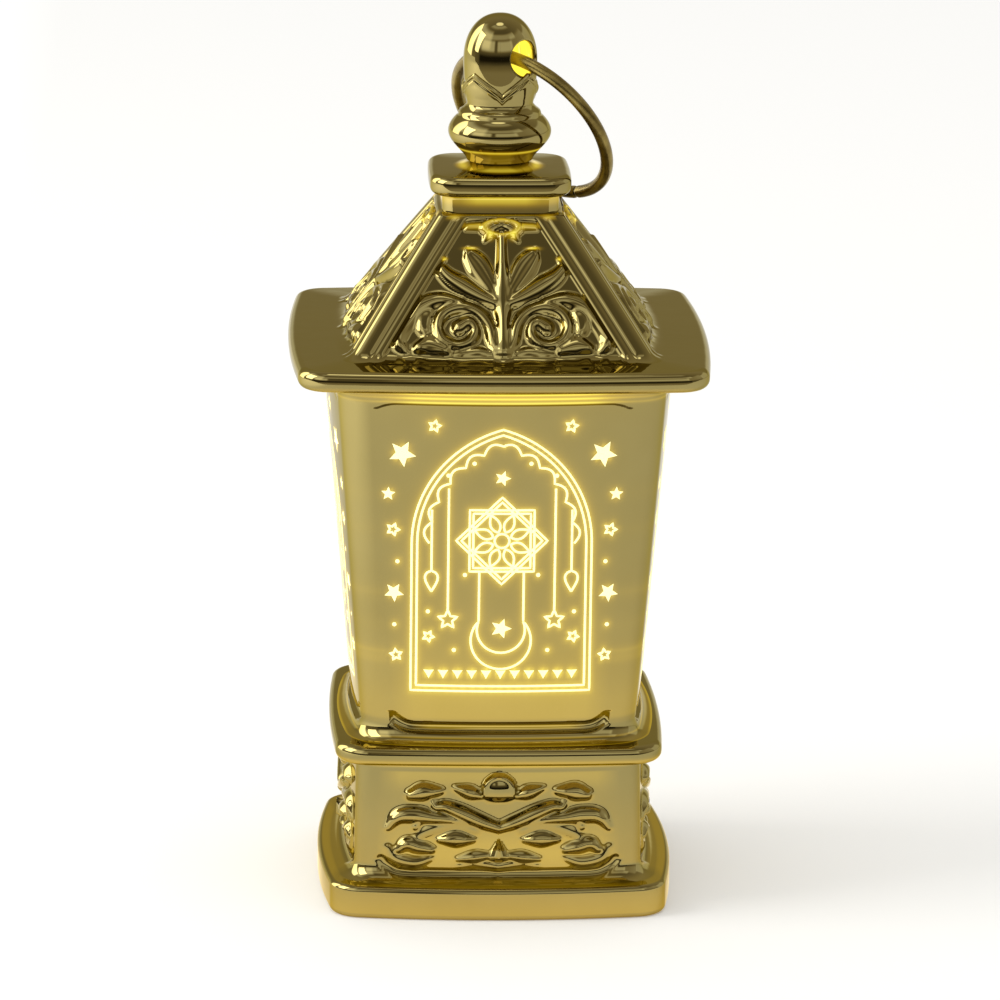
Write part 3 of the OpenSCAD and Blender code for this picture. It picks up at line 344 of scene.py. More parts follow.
plinth_strokes = [
    (1.1, 0, [(-2.6, 19.1, 0.4), (-4.5, 19.8, 0.96), (-6.9, 20.5, 0.4)]),
    (1.2, 0, [(-13.8, 19.3, 0.8), (-11.9, 19.8, 1.28), (-9.2, 20.0, 0.55)]),
    (1.3, 0, [(-0.1, 14.1, 0.75), (-3.0, 15.2, 1.0), (-5.9, 16.5, 1.04), (-8.4, 17.5, 0.8),
              (-9.9, 17.4, 0.6), (-10.3, 18.2, 0.42)]),
    (1.1, 0, [(-4.6, 14.7, 0.4), (-7.5, 15.4, 0.72), (-10.5, 15.7, 0.96), (-13.2, 16.0, 1.2),
              (-15.7, 15.7, 1.04), (-17.4, 13.7, 0.42)]),
    (1.0, 0, [(-11.8, 15.7, 0.5), (-13.0, 14.1, 0.6)]),
    (0.45, 0, [(-13.2, 11.9, 0.6), (-11.6, 13.2, 0.9), (-9.2, 14.1, 1.0), (-6.5, 14.4, 1.0),
                (-3.6, 13.6, 0.7)]),
    (1.2, 0, [(-9.3, 12.1, 0.5), (-6.7, 12.3, 1.25), (-4.1, 12.1, 0.5)]),
    (1.1, 0, [(-15.7, 10.3, 0.6), (-14.4, 11.3, 0.95), (-12.7, 10.9, 1.0), (-10.6, 10.4, 0.6)]),
    (0.45, 0, [(-17.4, 10.6, 0.5), (-16.2, 8.9, 0.8), (-13.2, 8.2, 0.9), (-10.6, 9.0, 0.5)]),
    (1.0, 0, [(-1.6, 9.5, 0.48), (-3.8, 9.3, 0.8), (-6.4, 8.9, 0.35)]),
    (0.4, 0, [(0, 7.7, 0.7), (-3.4, 8.2, 0.6), (-6.2, 7.8, 0.4)]),
]


def plinth_relief(u, z):
    """Scrolls of the plinth, with the knob above them and the pointed bud below"""
    knob_away = np.hypot(u, z - knob_level)
    knob = knob_rise * np.clip(1 - (knob_away / knob_radius) ** 2, 0, None) ** 0.6
    knob *= np.clip((z - 18.0) / 1.4, 0, 1)
    rim = 0.35 * bump_at(knob_away, 2.35, 0.3) * (z > 19.2)
    bud_reach = np.clip(bud_half * (bud_top - z) / 3.2, 0.01, bud_half)
    bud = bud_rise * np.clip(1 - np.abs(u) / bud_reach, 0, None) * (z < bud_top)
    bud *= np.clip((z - 8.4) / 0.9, 0, 1)
    return np.maximum(np.maximum(carved(u, z, plinth_strokes), knob + rim), bud)


plinth_form = tapered(foot_top, plinth_low_half, ledge_low, plinth_top_half, plinth_bow, plinth_corner)
plinth_levels = level_runs((foot_top + plinth_cove, shoulder, 68), (shoulder, ledge_low - ledge_cove, 5))
outer = plate(0, foot_top, foot_form, foot_edge)
outer += curve_up(foot_top, plinth_form, plinth_cove, plinth_cove, 14)
outer += [at(z, plinth_form) for z in plinth_levels]
outer += curve_in(ledge_low, plinth_form, ledge_cove, ledge_cove, 6)
outer += plate(ledge_low, ledge_top, ledge_form, ledge_edge)
inside_form = (plinth_top_half, plinth_bow, plinth_corner)
inner = [(ledge_top, collar_form, spigot_off), (collar_top, collar_form, spigot_off),
         (collar_top, collar_form, spigot_in), (ledge_top - wall, collar_form, spigot_in),
         (ledge_top - wall, inside_form, -wall), (seat_level, inside_form, -wall),
         (seat_level, foot_form, -foot_land), (0, foot_form, -foot_land)]
rows = sections(outer + inner, plinth_shares, plinth_turns)
u, z, ends = side_grid(outer, plinth_shares)
levels = z[:, :1]
# The wall's rows, from the foot's upper edge to just under the ledge's cove
on_wall = np.zeros(levels.shape)
on_wall[18:33 + len(plinth_levels)] = 1
relief = plinth_relief(u, z) * on_wall * np.clip((z - foot_top) / 1.5, 0, 1)
relief -= smile_groove(u, z, 18.5, 8.6, 6.6, 0.8, 0.4) * on_wall
# Painted yellow light: in the cove under the ledge, along the foot's top, on the foot's rim, on the ledge's
# lower edge, and faintly on the plain wall between the scrolls
painted_crease_light = 0.5 * bump_at(levels, ledge_low - 0.35, 0.28) + 0.06 * bump_at(levels, foot_top, 0.03)
painted_crease_light += 0.09 * ((levels < foot_top - 1) & (levels > 0.8))
painted_crease_light += 0.12 * ((levels > ledge_low + 0.2) & (levels < ledge_low + 0.9))
painted_crease_light += 0.025 * (levels >= foot_top) * above(levels, 5.8, -0.1)
painted_wall_light = 0.13 * bump_at(z, shoulder, 2.2) + 0.15 * bump_at(z, 10.0, 3.6) + 0.02
painted_wall_light *= on_wall * np.clip(1 - np.abs(relief) / 0.25, 0, 1) * np.clip((ends - np.abs(u)) / 3.5, 0, 1)
glow = raised(rows, slice(0, len(outer)), relief, painted_crease_light + painted_wall_light, painted_crease_light)
plinth_piece = shell_object("plinth_skin", rows, glow)
plinth_piece.data.materials.append(mirror_gold)
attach(plinth_piece, "lantern")
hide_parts("plinth_shell")

# Body shell. Four bowed panels that lean outwards, moulded and metallised with the plinth. A
# laser has burnt the pattern's lines out of the gold film, so the lit plastic shows in them,
# and its light spreads a little way under the film round every line.
body_low_half, body_top_half, body_bow, body_corner = 22.75, 27.65, 116, 6
eave_low, groove_depth = 85.8, 0.95
body_shares, body_turns = np.linspace(-1, 1, 111), 14
body_lean = (body_top_half - body_low_half) / (eave_low - ledge_top)
body_form = tapered(ledge_top, body_low_half, eave_low, body_top_half, body_bow, body_corner)
arch_half, arch_spring, arch_rise, arch_foot = 14.0, 60.5, 18.6, 36.2
rosette = (0.0, 61.0)


def both_sides(marks):
    """Marks at the right and then at the left"""
    return [(side * x, *rest) for side in (1, -1) for x, *rest in marks]


def mirrored(line):
    return line + [(-p, q) for p, q in reversed(line[:-1])]


def arch_side(inset, count, lobes=0):
    """Left half of the pointed arch, set in from its outer line, with lobes cut into it"""
    c = (arch_rise * arch_rise - arch_half * arch_half) / (2 * arch_half)
    outer_r = arch_half + c - inset
    out = []
    for t in np.linspace(0, 1, count + 1):
        r = outer_r - (0.95 * (1 - abs(math.sin(math.pi * lobes * t))) if lobes else 0)
        a = math.acos(c / outer_r) * t
        out.append((c - r * math.cos(a), arch_spring + r * math.sin(a)))
    return out


def polygon_line(u, z, r, count, spin, inner=None):
    """A polygon, or a star where every second corner lies further in"""
    corners = count * (2 if inner else 1)
    out = []
    for i in range(corners + 1):
        a = math.radians(spin) + 2 * math.pi * i / corners
        k = r * inner if inner and i % 2 else r
        out.append((u + k * math.sin(a), z + k * math.cos(a)))
    return out


def petal_line(u, z, low, high, half, turn):
    """A pointed petal that leaves a middle at an angle"""
    a, out = math.radians(turn), []
    for s in np.linspace(0, 2, 25):
        t = s if s <= 1 else 2 - s
        side = half * math.sin(math.pi * t ** 0.8) * (1 if s <= 1 else -1)
        r = low + (high - low) * t
        out.append((u + r * math.sin(a) + side * math.cos(a), z + r * math.cos(a) - side * math.sin(a)))
    return out


def drop_line(u, top, length, half):
    """A drop that hangs from its point"""
    return [(u + half * math.sin(math.pi * t ** 0.62) * s, top - length * t)
            for s, span in ((1, steps(12)), (-1, steps(12)[::-1])) for t in span]


def arc_line(z, r, start, count):
    """An arc round a middle of the moon, open towards the top"""
    return [(r * math.sin(a), z - r * math.cos(a)) for a in np.linspace(start, -start, count)]


def evenly(line, spacing=0.4):
    """The same line with its points close enough together to follow the bowed panel"""
    line, out = np.array(line, float), []
    for a, b in zip(line[:-1], line[1:]):
        n = max(1, int(math.ceil(np.linalg.norm(b - a) / spacing)))
        out += [a + (b - a) * t / n for t in range(n)]
    return np.array(out + [line[-1]])


engraved = []
for inset in (0.0, 0.85):
    foot = (inset - arch_half, arch_foot + inset)
    engraved.append(mirrored([foot] + arch_side(inset, 25)) + [foot])
engraved.append(mirrored(arch_side(1.8, 72, 6)))
engraved += [polygon_line(*rosette, r, 4, spin) for r in (7.1, 6.3) for spin in (0, 45)]
engraved += [petal_line(*rosette, 1.5, 4.6, 0.75, 22.5 + 45 * i) for i in range(8)]
engraved += [polygon_line(*rosette, 1.15, 20, 0)]
engraved += [[(x, top), (x, low)] for x, top, low in both_sides(
    [(10.9, 66.0, 56.0), (8.3, 69.5, 49.6), (3.47, 55.98, 47.9)])]
engraved += [drop_line(x, 56.0, 3.4, 1.0) for x in (10.9, -10.9)]
engraved += [polygon_line(x, y, r, 5, spin, 0.45) for x, y, r, spin in both_sides(
    [(8.3, 48.0, 1.6, 0), (10.6, 79.6, 1.0, 12), (16.9, 62.6, 1.05, 20), (16.3, 42.0, 1.0, -8),
     (11.3, 45.2, 0.95, 25)])]
moon = arc_line(44.6, 4.7, -2.311, 60) + arc_line(46.35, 3.75, 1.959, 50)
engraved += [moon + moon[:1]]
engraved = [evenly(line) for line in engraved]
# Solid marks, each with its place, its radius and its turn
big_stars = both_sides([(15.6, 75.0, 2.2, 10), (17.7, 68.4, 1.15, -15), (16.7, 52.3, 1.6, 14)])
big_stars += [(0, 46.6, 1.7, 0), (0, 71.2, 1.3, 0)]
diamonds = [(x, 39.2, 0.95, 90) for x in np.linspace(-11.2, 11.2, 11)]
dots = [(x, y, 0.34, 0) for x, y in both_sides(
    [(8.4, 71.6), (4.4, 73.6), (11.4, 49.3), (5.7, 55.4), (16.2, 57.4), (16.6, 47.0), (7.3, 43.0)])]
# The whole pattern as points, for the light that spreads from it
mark_round = np.array([[math.sin(a), math.cos(a)] for a in np.linspace(0, 6.28, 9)])
lit = np.concatenate(engraved + [np.array([[x, y]]) + 0.6 * r * mark_round
                                 for x, y, r, _ in big_stars + diamonds + dots])


def halo(u, z):
    """Light that spreads in the wall round the engraved pattern"""
    near, sum_near = np.full(u.size, 1e9), np.zeros(u.size)
    for start in range(0, len(lit), 200):
        block = lit[start:start + 200]
        d2 = (u.reshape(-1, 1) - block[:, 0]) ** 2 + (z.reshape(-1, 1) - block[:, 1]) ** 2
        near = np.minimum(near, d2.min(1))
        sum_near += np.exp(-d2 / 8.0).sum(1)
    return (0.55 * np.exp(-np.sqrt(near) / 0.36) + 0.0013 * sum_near).reshape(u.shape)


outer = curve_up(ledge_top, body_form, 3.0, 2.4, 34)
outer += [at(z, body_form) for z in level_runs((30.6, 33.0, 25), (33.0, 80.8, 86), (80.8, 82.9, 13))]
outer += curve_in(eave_low, body_form, 2.9, 2.2, 36)
inner = [at(eave_low, body_form, -wall), at(ledge_top, body_form, -wall)]
rows = sections(outer + inner, body_shares, body_turns)
u, z, ends = side_grid(outer, body_shares)
foot_groove = smile_groove(u, z, 17.0, 31.7, 30.05, 1.0, groove_depth)
relief = -foot_groove - smile_groove(u, z, 19.7, 82.5, 83.4, 0.45, 0.07)
relief *= (z > ledge_top + 0.4) * (z < eave_low - 0.3)
# The halo is the lamp's light round the engraved lines. Painted light under the eave: four
# stripes on a yellow cove. Painted light above the ledge: two lit creases, the groove's floor,
# and a yellow light on the wall that fades upwards.
across = 0.35 + 0.65 * above(np.abs(u), 15.5, -0.8)
painted_eave_light = 0.6 * sum(bump_at(z, stripe, 0.17) for stripe in (83.3, 84.05, 84.8, 85.5)) * across
painted_eave_light += 0.22 * across * above(z, 82.95, 0.12) + 0.06 * np.exp(-np.abs(z - 85.5) / 3.0)
painted_foot_light = np.minimum(0.19, 0.36 * np.exp(-(z - ledge_top) / 11.0)) * above(z, 31.3, 0.15)
painted_foot_light += 0.25 * bump_at(z, 28.5, 0.12) + 0.2 * bump_at(z, ledge_top, 0.03)
painted_foot_light += 0.09 * above(z, 28.1, -0.08)
painted_foot_light += 0.25 * np.clip(8 * foot_groove / groove_depth - 7, 0, 1) * np.clip((14 - np.abs(u)) / 3, 0, 1)
lamp_and_painted_panel_light = halo(u, z) + painted_eave_light + painted_foot_light
lamp_and_painted_panel_light *= 1 - 0.4 * np.clip(1 - (ends - np.abs(u)) / 3.5, 0, 1)
glow = raised(rows, slice(0, len(outer)), relief, lamp_and_painted_panel_light, lamp_and_painted_panel_light[:, -1:])
body_piece = shell_object("body_skin", rows, glow)
body_piece.data.materials.append(mirror_gold)
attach(body_piece, "lantern")
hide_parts("body_shell")

# Lit plastic in the engraved lines: translucent ivory polystyrene with a warm white lamp close
# behind it. It gives the eye a flat, even yellow light, whitest in the widest cuts.
lit_plastic, tree, where = new_finish("lit_ivory_plastic")
warmth = mapped(tree, noise(tree, where, 900), 0, 1, 0.8, 1.0)
add(tree, "ShaderNodeOutputMaterial", {"Surface": add(tree, "ShaderNodeBsdfPrincipled", {
    "Base Color": linear("#efe3b4"), "Roughness": 0.6, "Emission Color": linear("#fff6a0"),
    "Emission Strength": warmth})})


def on_body(u, z, q, lift=0.0):
    """Places on a body panel and the panel's direction there"""
    x = body_form(z)[0] - body_bow + np.sqrt(body_bow ** 2 - u ** 2)
    n = np.stack([np.sqrt(1 - (u / body_bow) ** 2), u / body_bow, np.full(u.shape, -body_lean)], 1)
    n /= np.linalg.norm(n, axis=1, keepdims=True)
    s, k = quarters[q]
    turn = np.array([[k, s, 0], [-s, k, 0], [0, 0, 1]], float)
    return (np.stack([x, u, z], 1) + lift * n) @ turn, n @ turn


def new_tree(name, **sizes):
    """A Geometry Nodes tree with a geometry input and named inputs for its sizes"""
    group = bpy.data.node_groups.new(name, "GeometryNodeTree")
    group.interface.new_socket("Geometry", in_out="INPUT", socket_type="NodeSocketGeometry")
    group.interface.new_socket("Geometry", in_out="OUTPUT", socket_type="NodeSocketGeometry")
    for size, value in sizes.items():
        kind = "NodeSocketInt" if isinstance(value, int) else "NodeSocketFloat"
        group.interface.new_socket(size, in_out="INPUT", socket_type=kind).default_value = value
    return group, add(group, "NodeGroupInput").outputs


def given_by(group, name, kind="FLOAT_VECTOR"):
    """What each point carries under a name"""
    return add(group, "GeometryNodeInputNamedAttribute", {"Name": name}, data_type=kind)


def end_tree(group, geometry, finish):
    """Ends a tree in real geometry with its finish"""
    real = add(group, "GeometryNodeRealizeInstances", {"Geometry": geometry})
    dressed = add(group, "GeometryNodeSetMaterial", {"Geometry": real, "Material": finish})
    add(group, "NodeGroupOutput", {"Geometry": dressed})


def grown(piece, group, finish, **sizes):
    """Runs a tree on a piece, keeps the result as its plain mesh and takes the tree off again"""
    modifier = piece.modifiers.new("grown", "NODES")
    modifier.node_group = group
    for item in group.interface.items_tree:
        if item.in_out == "INPUT" and item.name in sizes:
            modifier[item.identifier] = sizes[item.name]
    bpy.context.view_layer.update()
    result = bpy.data.meshes.new_from_object(piece.evaluated_get(bpy.context.evaluated_depsgraph_get()))
    piece.modifiers.remove(modifier)
    piece.data = result
    result.name = piece.name
    result.materials.clear()
    result.materials.append(finish)
    return piece


group, given = new_tree("engraved_line", line_width=0.0004, line_depth=0.00006)
curves = add(group, "GeometryNodeMeshToCurve", {"Mesh": given["Geometry"]})
upright = add(group, "GeometryNodeSetCurveNormal", {
    "Curve": curves, "Normal": given_by(group, "facing")}, mode="FREE")
cut = add(group, "GeometryNodeCurvePrimitiveQuadrilateral", {
    "Width": given["line_depth"], "Height": given["line_width"]})
strip = add(group, "GeometryNodeCurveToMesh", {"Curve": upright, "Profile Curve": cut, "Fill Caps": True})
end_tree(group, strip, lit_plastic)

points, facings, edges = [], [], []
for q in range(4):
    for line in engraved:
        p, n = on_body(line[:, 0], line[:, 1], q)
        closed = bool(np.linalg.norm(p[0] - p[-1]) < 1e-6)
        start, count = sum(len(b) for b in points), len(p) - closed
        edges += [(start + i, start + (i + 1) % count) for i in range(count if closed else count - 1)]
        points.append(p[:count])
        facings.append(n[:count])
line_piece = new_mesh("engraved_lines", np.concatenate(points), edges, facing=np.concatenate(facings))
grown(line_piece, group, lit_plastic, line_width=0.00036, line_depth=0.00006)

group, given = new_tree("engraved_star", tips=5, waist=0.45, star_depth=0.00006)
star = add(group, "GeometryNodeCurveStar", {
    "Points": given["tips"], "Inner Radius": given["waist"], "Outer Radius": 1.0})
filled = add(group, "GeometryNodeFillCurve", {"Curve": star}, mode="NGONS")
front = add(group, "GeometryNodeExtrudeMesh", {
    "Mesh": filled, "Offset Scale": given["star_depth"]}, mode="FACES")
back = add(group, "GeometryNodeFlipFaces", {"Mesh": filled})
both = add(group, "GeometryNodeJoinGeometry", {0: front})
group.links.new(back.outputs[0], both.inputs[0])
whole = add(group, "GeometryNodeMergeByDistance", {"Geometry": both, "Distance": 0.00001})
turned = add(group, "FunctionNodeAxesToRotation", {
    "Primary Axis": given_by(group, "facing"), "Secondary Axis": given_by(group, "upwards")},
    primary_axis="Z", secondary_axis="Y")
size = given_by(group, "size", "FLOAT")
stretch = add(group, "ShaderNodeCombineXYZ", {0: size, 1: size, 2: 1.0})
stars = add(group, "GeometryNodeInstanceOnPoints", {
    "Points": given["Geometry"], "Instance": whole, "Rotation": turned, "Scale": stretch})
end_tree(group, stars, lit_plastic)

pattern_parts = [line_piece]
for name, marks, tips, waist in (
        ("engraved_stars", big_stars, 5, 0.46), ("engraved_diamonds", diamonds, 2, 0.45),
        ("engraved_dots", dots, 8, 0.96)):
    x, y, radius, spin = np.array(marks, float).T
    cos, sin = np.cos(np.radians(spin))[:, None], np.sin(np.radians(spin))[:, None]
    points, facings, upwards = [], [], []
    for q in range(4):
        p, n = on_body(x, y, q, -0.03)
        side = np.cross([0, 0, 1], n)
        side /= np.linalg.norm(side, axis=1, keepdims=True)
        points.append(p)
        facings.append(n)
        upwards.append(np.cross(n, side) * cos + side * sin)
    marked = new_mesh(name, np.concatenate(points), facing=np.concatenate(facings),
                      upwards=np.concatenate(upwards), size=np.tile(radius * mm, 4))
    pattern_parts.append(grown(marked, group, lit_plastic, tips=tips, waist=waist))
pattern_piece = joined("engraved_pattern", *pattern_parts)
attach(pattern_piece, "lantern")

# Roof shell. A square pyramid on a wide eave plate, moulded in one with a grooved rib beside
# each ridge and deep acanthus scrolls on its four panels, then metallised like the body.
eave_form, eave_top, eave_edge = (33.1, 287, 5), 89.1, 1.45
roof_top, roof_low_half, roof_top_half, roof_bow, roof_corner = 109.5, 25, 9.8, 200, 1.6
roof_cove, rib_width, rib_groove, panel_depth, top_band = 1.2, 3.4, 0.3, 0.7, 0.9
socket_depth, spigot_depth, roof_lip, flower_level = 4, 4, 0.12, 107.7
neck_form = (9.3, 156, 3)
rib_steps, roof_turns, panel_steps = 12, 9, 110
roof_form = tapered(eave_top, roof_low_half, roof_top, roof_top_half, roof_bow, roof_corner)


def roof_side(end):
    """Places along a roof side: a rib of fixed width at each end and the panel between"""
    rib = -end + rib_width * np.arange(rib_steps) / rib_steps
    panel = np.linspace(-(end - rib_width), end - rib_width, panel_steps + 1)
    return np.concatenate([rib, panel, -rib[::-1]])


roof_strokes = [
    (1.15, 0, [(0, 106.4, 0.7), (0, 103.0, 0.85), (0, 100.0, 1.3), (0, 97.7, 1.7), (0, 95.3, 1.1),
               (0, 92.5, 1.1), (0, 90.9, 1.5)]),
    (0.75, 0, [(-1.2, 108.0, 0.75), (-3.0, 108.0, 0.65), (-5.6, 107.9, 0.5)]),
    (0.9, 0, [(0, 108.2, 0.7), (-1.7, 107.5, 1.0), (-2.6, 106.2, 0.4)]),
    (1.15, 0.45, [(-0.8, 98.2, 0.8), (-2.2, 100.4, 1.5), (-3.6, 102.4, 1.75), (-4.9, 103.9, 1.2),
                  (-5.4, 104.6, 0.5)]),
    (1.1, 0, [(-1.2, 97.4, 0.9), (-3.5, 98.4, 1.2), (-6.0, 99.7, 1.35), (-8.4, 101.0, 1.1),
              (-9.6, 102.4, 0.8), (-9.0, 103.6, 0.45)]),
    (1.0, 0, [(-6.5, 97.4, 0.8), (-10.0, 97.8, 1.1), (-13.2, 96.6, 1.3), (-15.4, 94.3, 1.3),
              (-16.2, 92.2, 1.1), (-15.2, 90.8, 0.6)]),
    (1.1, 0, [(-1.0, 90.6, 0.6), (-1.6, 92.2, 0.85), (-2.2, 94.3, 0.95), (-3.9, 96.1, 1.0),
              (-6.4, 96.8, 1.0), (-8.9, 96.1, 0.95), (-10.1, 94.4, 0.9), (-9.5, 92.6, 0.85),
              (-7.4, 91.6, 0.8), (-5.2, 92.1, 0.8), (-4.3, 93.6, 0.85), (-5.2, 94.8, 0.95),
              (-6.8, 94.0, 1.15)]),
    (0.95, 0.3, [(-11.3, 96.3, 0.6), (-12.3, 94.6, 1.2), (-11.8, 92.9, 0.6)]),
    (1.0, 0, [(-13.3, 91.2, 0.8), (-11.4, 91.6, 1.5), (-8.9, 90.9, 0.9)]),
    (0.8, 0, [(-2.0, 90.5, 0.6), (-4.0, 90.8, 0.75), (-6.3, 90.5, 0.7), (-7.9, 90.4, 0.4)]),
]
slope = math.atan2(roof_low_half - roof_top_half, roof_top - eave_top)
inside_run = (wall + panel_depth) / math.cos(slope)
skirt_low, socket_low = eave_low - spigot_depth, roof_top - socket_depth
skirt_form = body_form(skirt_low)


def roof_inside(z):
    return roof_form(z)[0] - inside_run, roof_bow, 3


plain = [(skirt_low, skirt_form, spigot_off), (eave_low, skirt_form, spigot_off)]
plain += plate(eave_low, eave_top, eave_form, eave_edge, 11)
outer = curve_up(eave_top, roof_form, roof_cove, roof_cove, 9)
outer += [at(z, roof_form) for z in np.linspace(eave_top + roof_cove, roof_top - top_band, 90)[1:]]
outer += [at(z, roof_form) for z in (108.75, 108.95, 109.1, 109.3)]
outer += [(roof_top - roof_lip, roof_form(roof_top), 0), (roof_top, roof_form(roof_top), -roof_lip)]
inner = [(roof_top, neck_form, -wall), (socket_low, neck_form, -wall), at(socket_low, roof_inside),
         at(eave_top, roof_inside), (eave_low, skirt_form, spigot_in), (skirt_low, skirt_form, spigot_in)]
rows = sections(plain + outer + inner, roof_side, roof_turns)
u, z, ends = side_grid(outer, roof_side)
# From each ridge inwards: the rib with its groove, the step down to the panel, and the scrolls.
# All of it runs out at the cove below and at the plain band on top.
from_ridge = (ends - np.abs(u)) / rib_width
groove = rib_groove * np.interp(from_ridge, (0.24, 0.3, 0.45, 0.6, 0.66), (0, 0.15, 1, 0.15, 0))
step_down = panel_depth * math.cos(slope) * np.clip((from_ridge - 0.86) / 0.14, 0, 1)
# The oval rim of the flower that hangs from the top, as the distance across it
flower_rim = np.abs(np.hypot(u / 2.7, z - flower_level) - 1) * 1.5
flower = 0.9 * np.clip(1 - (flower_rim / 0.6) ** 2, 0, None)
scrolls = np.maximum(carved(u, z, roof_strokes, 1.1, 7.0), flower)
relief = scrolls * np.clip((from_ridge - 1.0) / 0.18, 0, 1) - step_down - groove
relief *= np.interp(z, (eave_top, eave_top + roof_cove, roof_top - top_band, 108.75, 108.95, 109.1),
                    (0, 1, 1, 0.8, 0.3, 0))
away = np.abs(u)
# Painted yellow light: near the top of each rib's groove, round the flower's rim, on the small scrolls
# beside it, and as short bright arcs over the scrolls' tips
light = 0.45 * bump_at(z, 109.1, 0.3) * bump_at(from_ridge, 0.3, 0.3) + 0.5 * bump_at(flower_rim, 0, 0.36)
light += 0.4 * bump_at(z, 107.95, 0.4) * np.clip((6.0 - away) / 0.6, 0, 1) * (away > 3.2)
light += 0.6 * bump_at(away, 1.9, 0.6) * bump_at(z, 106.6, 0.45)
light += 0.9 * bump_at(away, 4.9, 0.9) * bump_at(z, 105.0, 0.2)
light += 0.9 * bump_at(away, 8.9, 0.35) * bump_at(z, 103.5, 0.2)
glow = raised(rows, slice(len(plain), len(plain) + len(outer)), relief, light)
# Painted reflection of the body's light on the first turns of the eave's lower edge
glow[2:7] += 0.1
roof_piece = shell_object("roof_skin", rows, glow)
roof_piece.data.materials.append(mirror_gold)
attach(roof_piece, "lantern")
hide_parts("roof_shell")

# Cap and finial. One moulding: a square cap on a neck with painted yellow light, a flared foot,
# a turned knob and an egg held in four pointed sepals. The mould's halves part along the egg's
# side, and the ring's hole is cored through it from corner to corner.
neck_low, cap_low, cap_top, cap_edge, cap_form = 109.5, 112.2, 115.4, 1.2, (11.2, 156, 4.5)
neck_cove = (cap_form[0] - cap_edge - neck_form[0]) / 2
cap_shares, cap_turns = np.linspace(-1, 1, 31), 12
foot_half, foot_rise, waist_radius, waist_level, bore = 7.4, 1.5, 5.2, 116.525, 3.5
crest_radius, crest_level, sepal_low = 8.1, 121.0, 125.8
tip, egg_girth, egg_radius, egg_power, egg_drop = 139.6, 132.1, 5.8, 2.2, 12.0
hole_level, hole_radius, hole_turn = 133.0, 2.75, math.radians(46.5)
hole_axis = np.array([math.sin(hole_turn), -math.cos(hole_turn), 0])
across_axis = np.array([math.cos(hole_turn), math.sin(hole_turn), 0])
up_axis = np.array([0, 0, 1.0])
lip_radius, rim_depth, core_depth = hole_radius + 0.45, 0.5, 0.75


def finial_foot(half, share):
    """The flared foot's form, a square whose corners round off as the share nears 1"""
    return half, half / math.cos(math.radians(45 * share)), half * share


course = [(neck_low - socket_depth, neck_form, spigot_off), (neck_low, neck_form, spigot_off)]
course += [(z, neck_form, 0) for z in (neck_low, *np.linspace(neck_low + 0.1, cap_low - 0.6, 17))]
course += curve_in(cap_low, neck_form, 0.5, neck_cove, 6)
course += plate(cap_low, cap_top, cap_form, cap_edge)
for t in steps(12) * math.pi / 2:
    fall, rise = 1 - math.sin(t), 1 - math.cos(t)
    half = waist_radius - 0.8 + (foot_half - waist_radius + 0.8) * fall
    course.append((cap_top + foot_rise * rise, finial_foot(half, 0.95 - 0.4 * fall), 0))
flare_rows = slice(len(course) - 13, len(course))
course += [(cap_top + foot_rise, finial_foot(bore, 0.95), 0), (cap_top - wall, finial_foot(bore, 0.95), 0),
           (cap_top - wall, neck_form, spigot_in), (neck_low - socket_depth, neck_form, spigot_in)]
rows = sections(course, cap_shares, cap_turns)
levels = np.array([section[0] for section in course])
# Painted yellow light on the neck, most under the cap and less towards its corners, and on the foot's flare
light = 0.58 * above(levels, 110.95, 0.28) * (levels < 112.35) * (levels > 109.4)
light[flare_rows] += [0.0, 0.05, 0.2, 0.4, 0.5, 0.45, 0.3, 0.15, 0.05, 0.0, 0.0, 0.0, 0.0]
fade = np.append(1 - 0.45 * np.clip(2.5 * np.abs(cap_shares) - 1.5, 0, 1), [0.55] * cap_turns)
cap_part = shell_object("cap_skin", rows, light[:, None] * np.tile(fade, 4))

turning = np.linspace(0, 2 * math.pi, 240, endpoint=False)


def swell(z0, r0, power, count):
    """A turned curve from the knob's crest to its foot"""
    return [(r0 + (crest_radius - r0) * math.cos(s * math.pi / 2) ** power,
             crest_level + (z0 - crest_level) * s) for s in steps(count)]


def parting(angle):
    """How the mould's two halves meet: a faint ridge down both sides of the finial"""
    away = np.abs(np.angle(np.exp(2j * (angle - hole_turn))) / 2)
    return 1 + 0.045 * np.clip(1 - away / 0.7, 0, 1)


def egg_at(z):
    """Radius of the egg at a level"""
    high = np.where(z > egg_girth, tip - egg_girth, egg_drop)
    return egg_radius * np.clip(1 - np.abs((z - egg_girth) / high) ** egg_power, 0, None) ** (1 / egg_power)


def turned_row(r, z):
    r = r * parting(turning)
    return np.stack([r * np.cos(turning), r * np.sin(turning), z + np.zeros(len(turning))], 1)


stem_profile = swell(waist_level, waist_radius, 1.5, 22)[::-1] + swell(123.6, 6.5, 0.8, 18)[1:]
stem_profile += [(6.47, 124.0), (6.3, 124.35), (5.95, 124.6), (5.7, 124.8), (5.45, 125.1), (5.2, 125.45)]
rows = [turned_row(r, z) for r, z in [(4.6, waist_level)] + stem_profile]
sepal_share = np.abs(np.angle(np.exp(4j * (turning - hole_turn + math.pi / 4))) / math.pi)
lip = 127.5 + 3.3 * sepal_share ** 0.85
for v in steps(36):
    z = sepal_low + v * (lip - sepal_low)
    cup = 5.1 + 0.7 * np.cos(np.clip((128.6 - z) / 2.8, 0, 1) * math.pi / 2)
    below_lip = (1 - v) * (lip - sepal_low)
    rolled = 0.28 * bump_at(below_lip, 0.4, 0.3) + 0.12 * bump_at(below_lip, 1.3, 0.28) + 0.05
    rows.append(turned_row(np.maximum(cup, egg_at(z) + 0.12) + rolled, z))
rows += [turned_row(egg_at(lip) - 0.3, lip - 0.02), turned_row(bore, 126.0), turned_row(bore, waist_level)]
rows = np.array(rows)
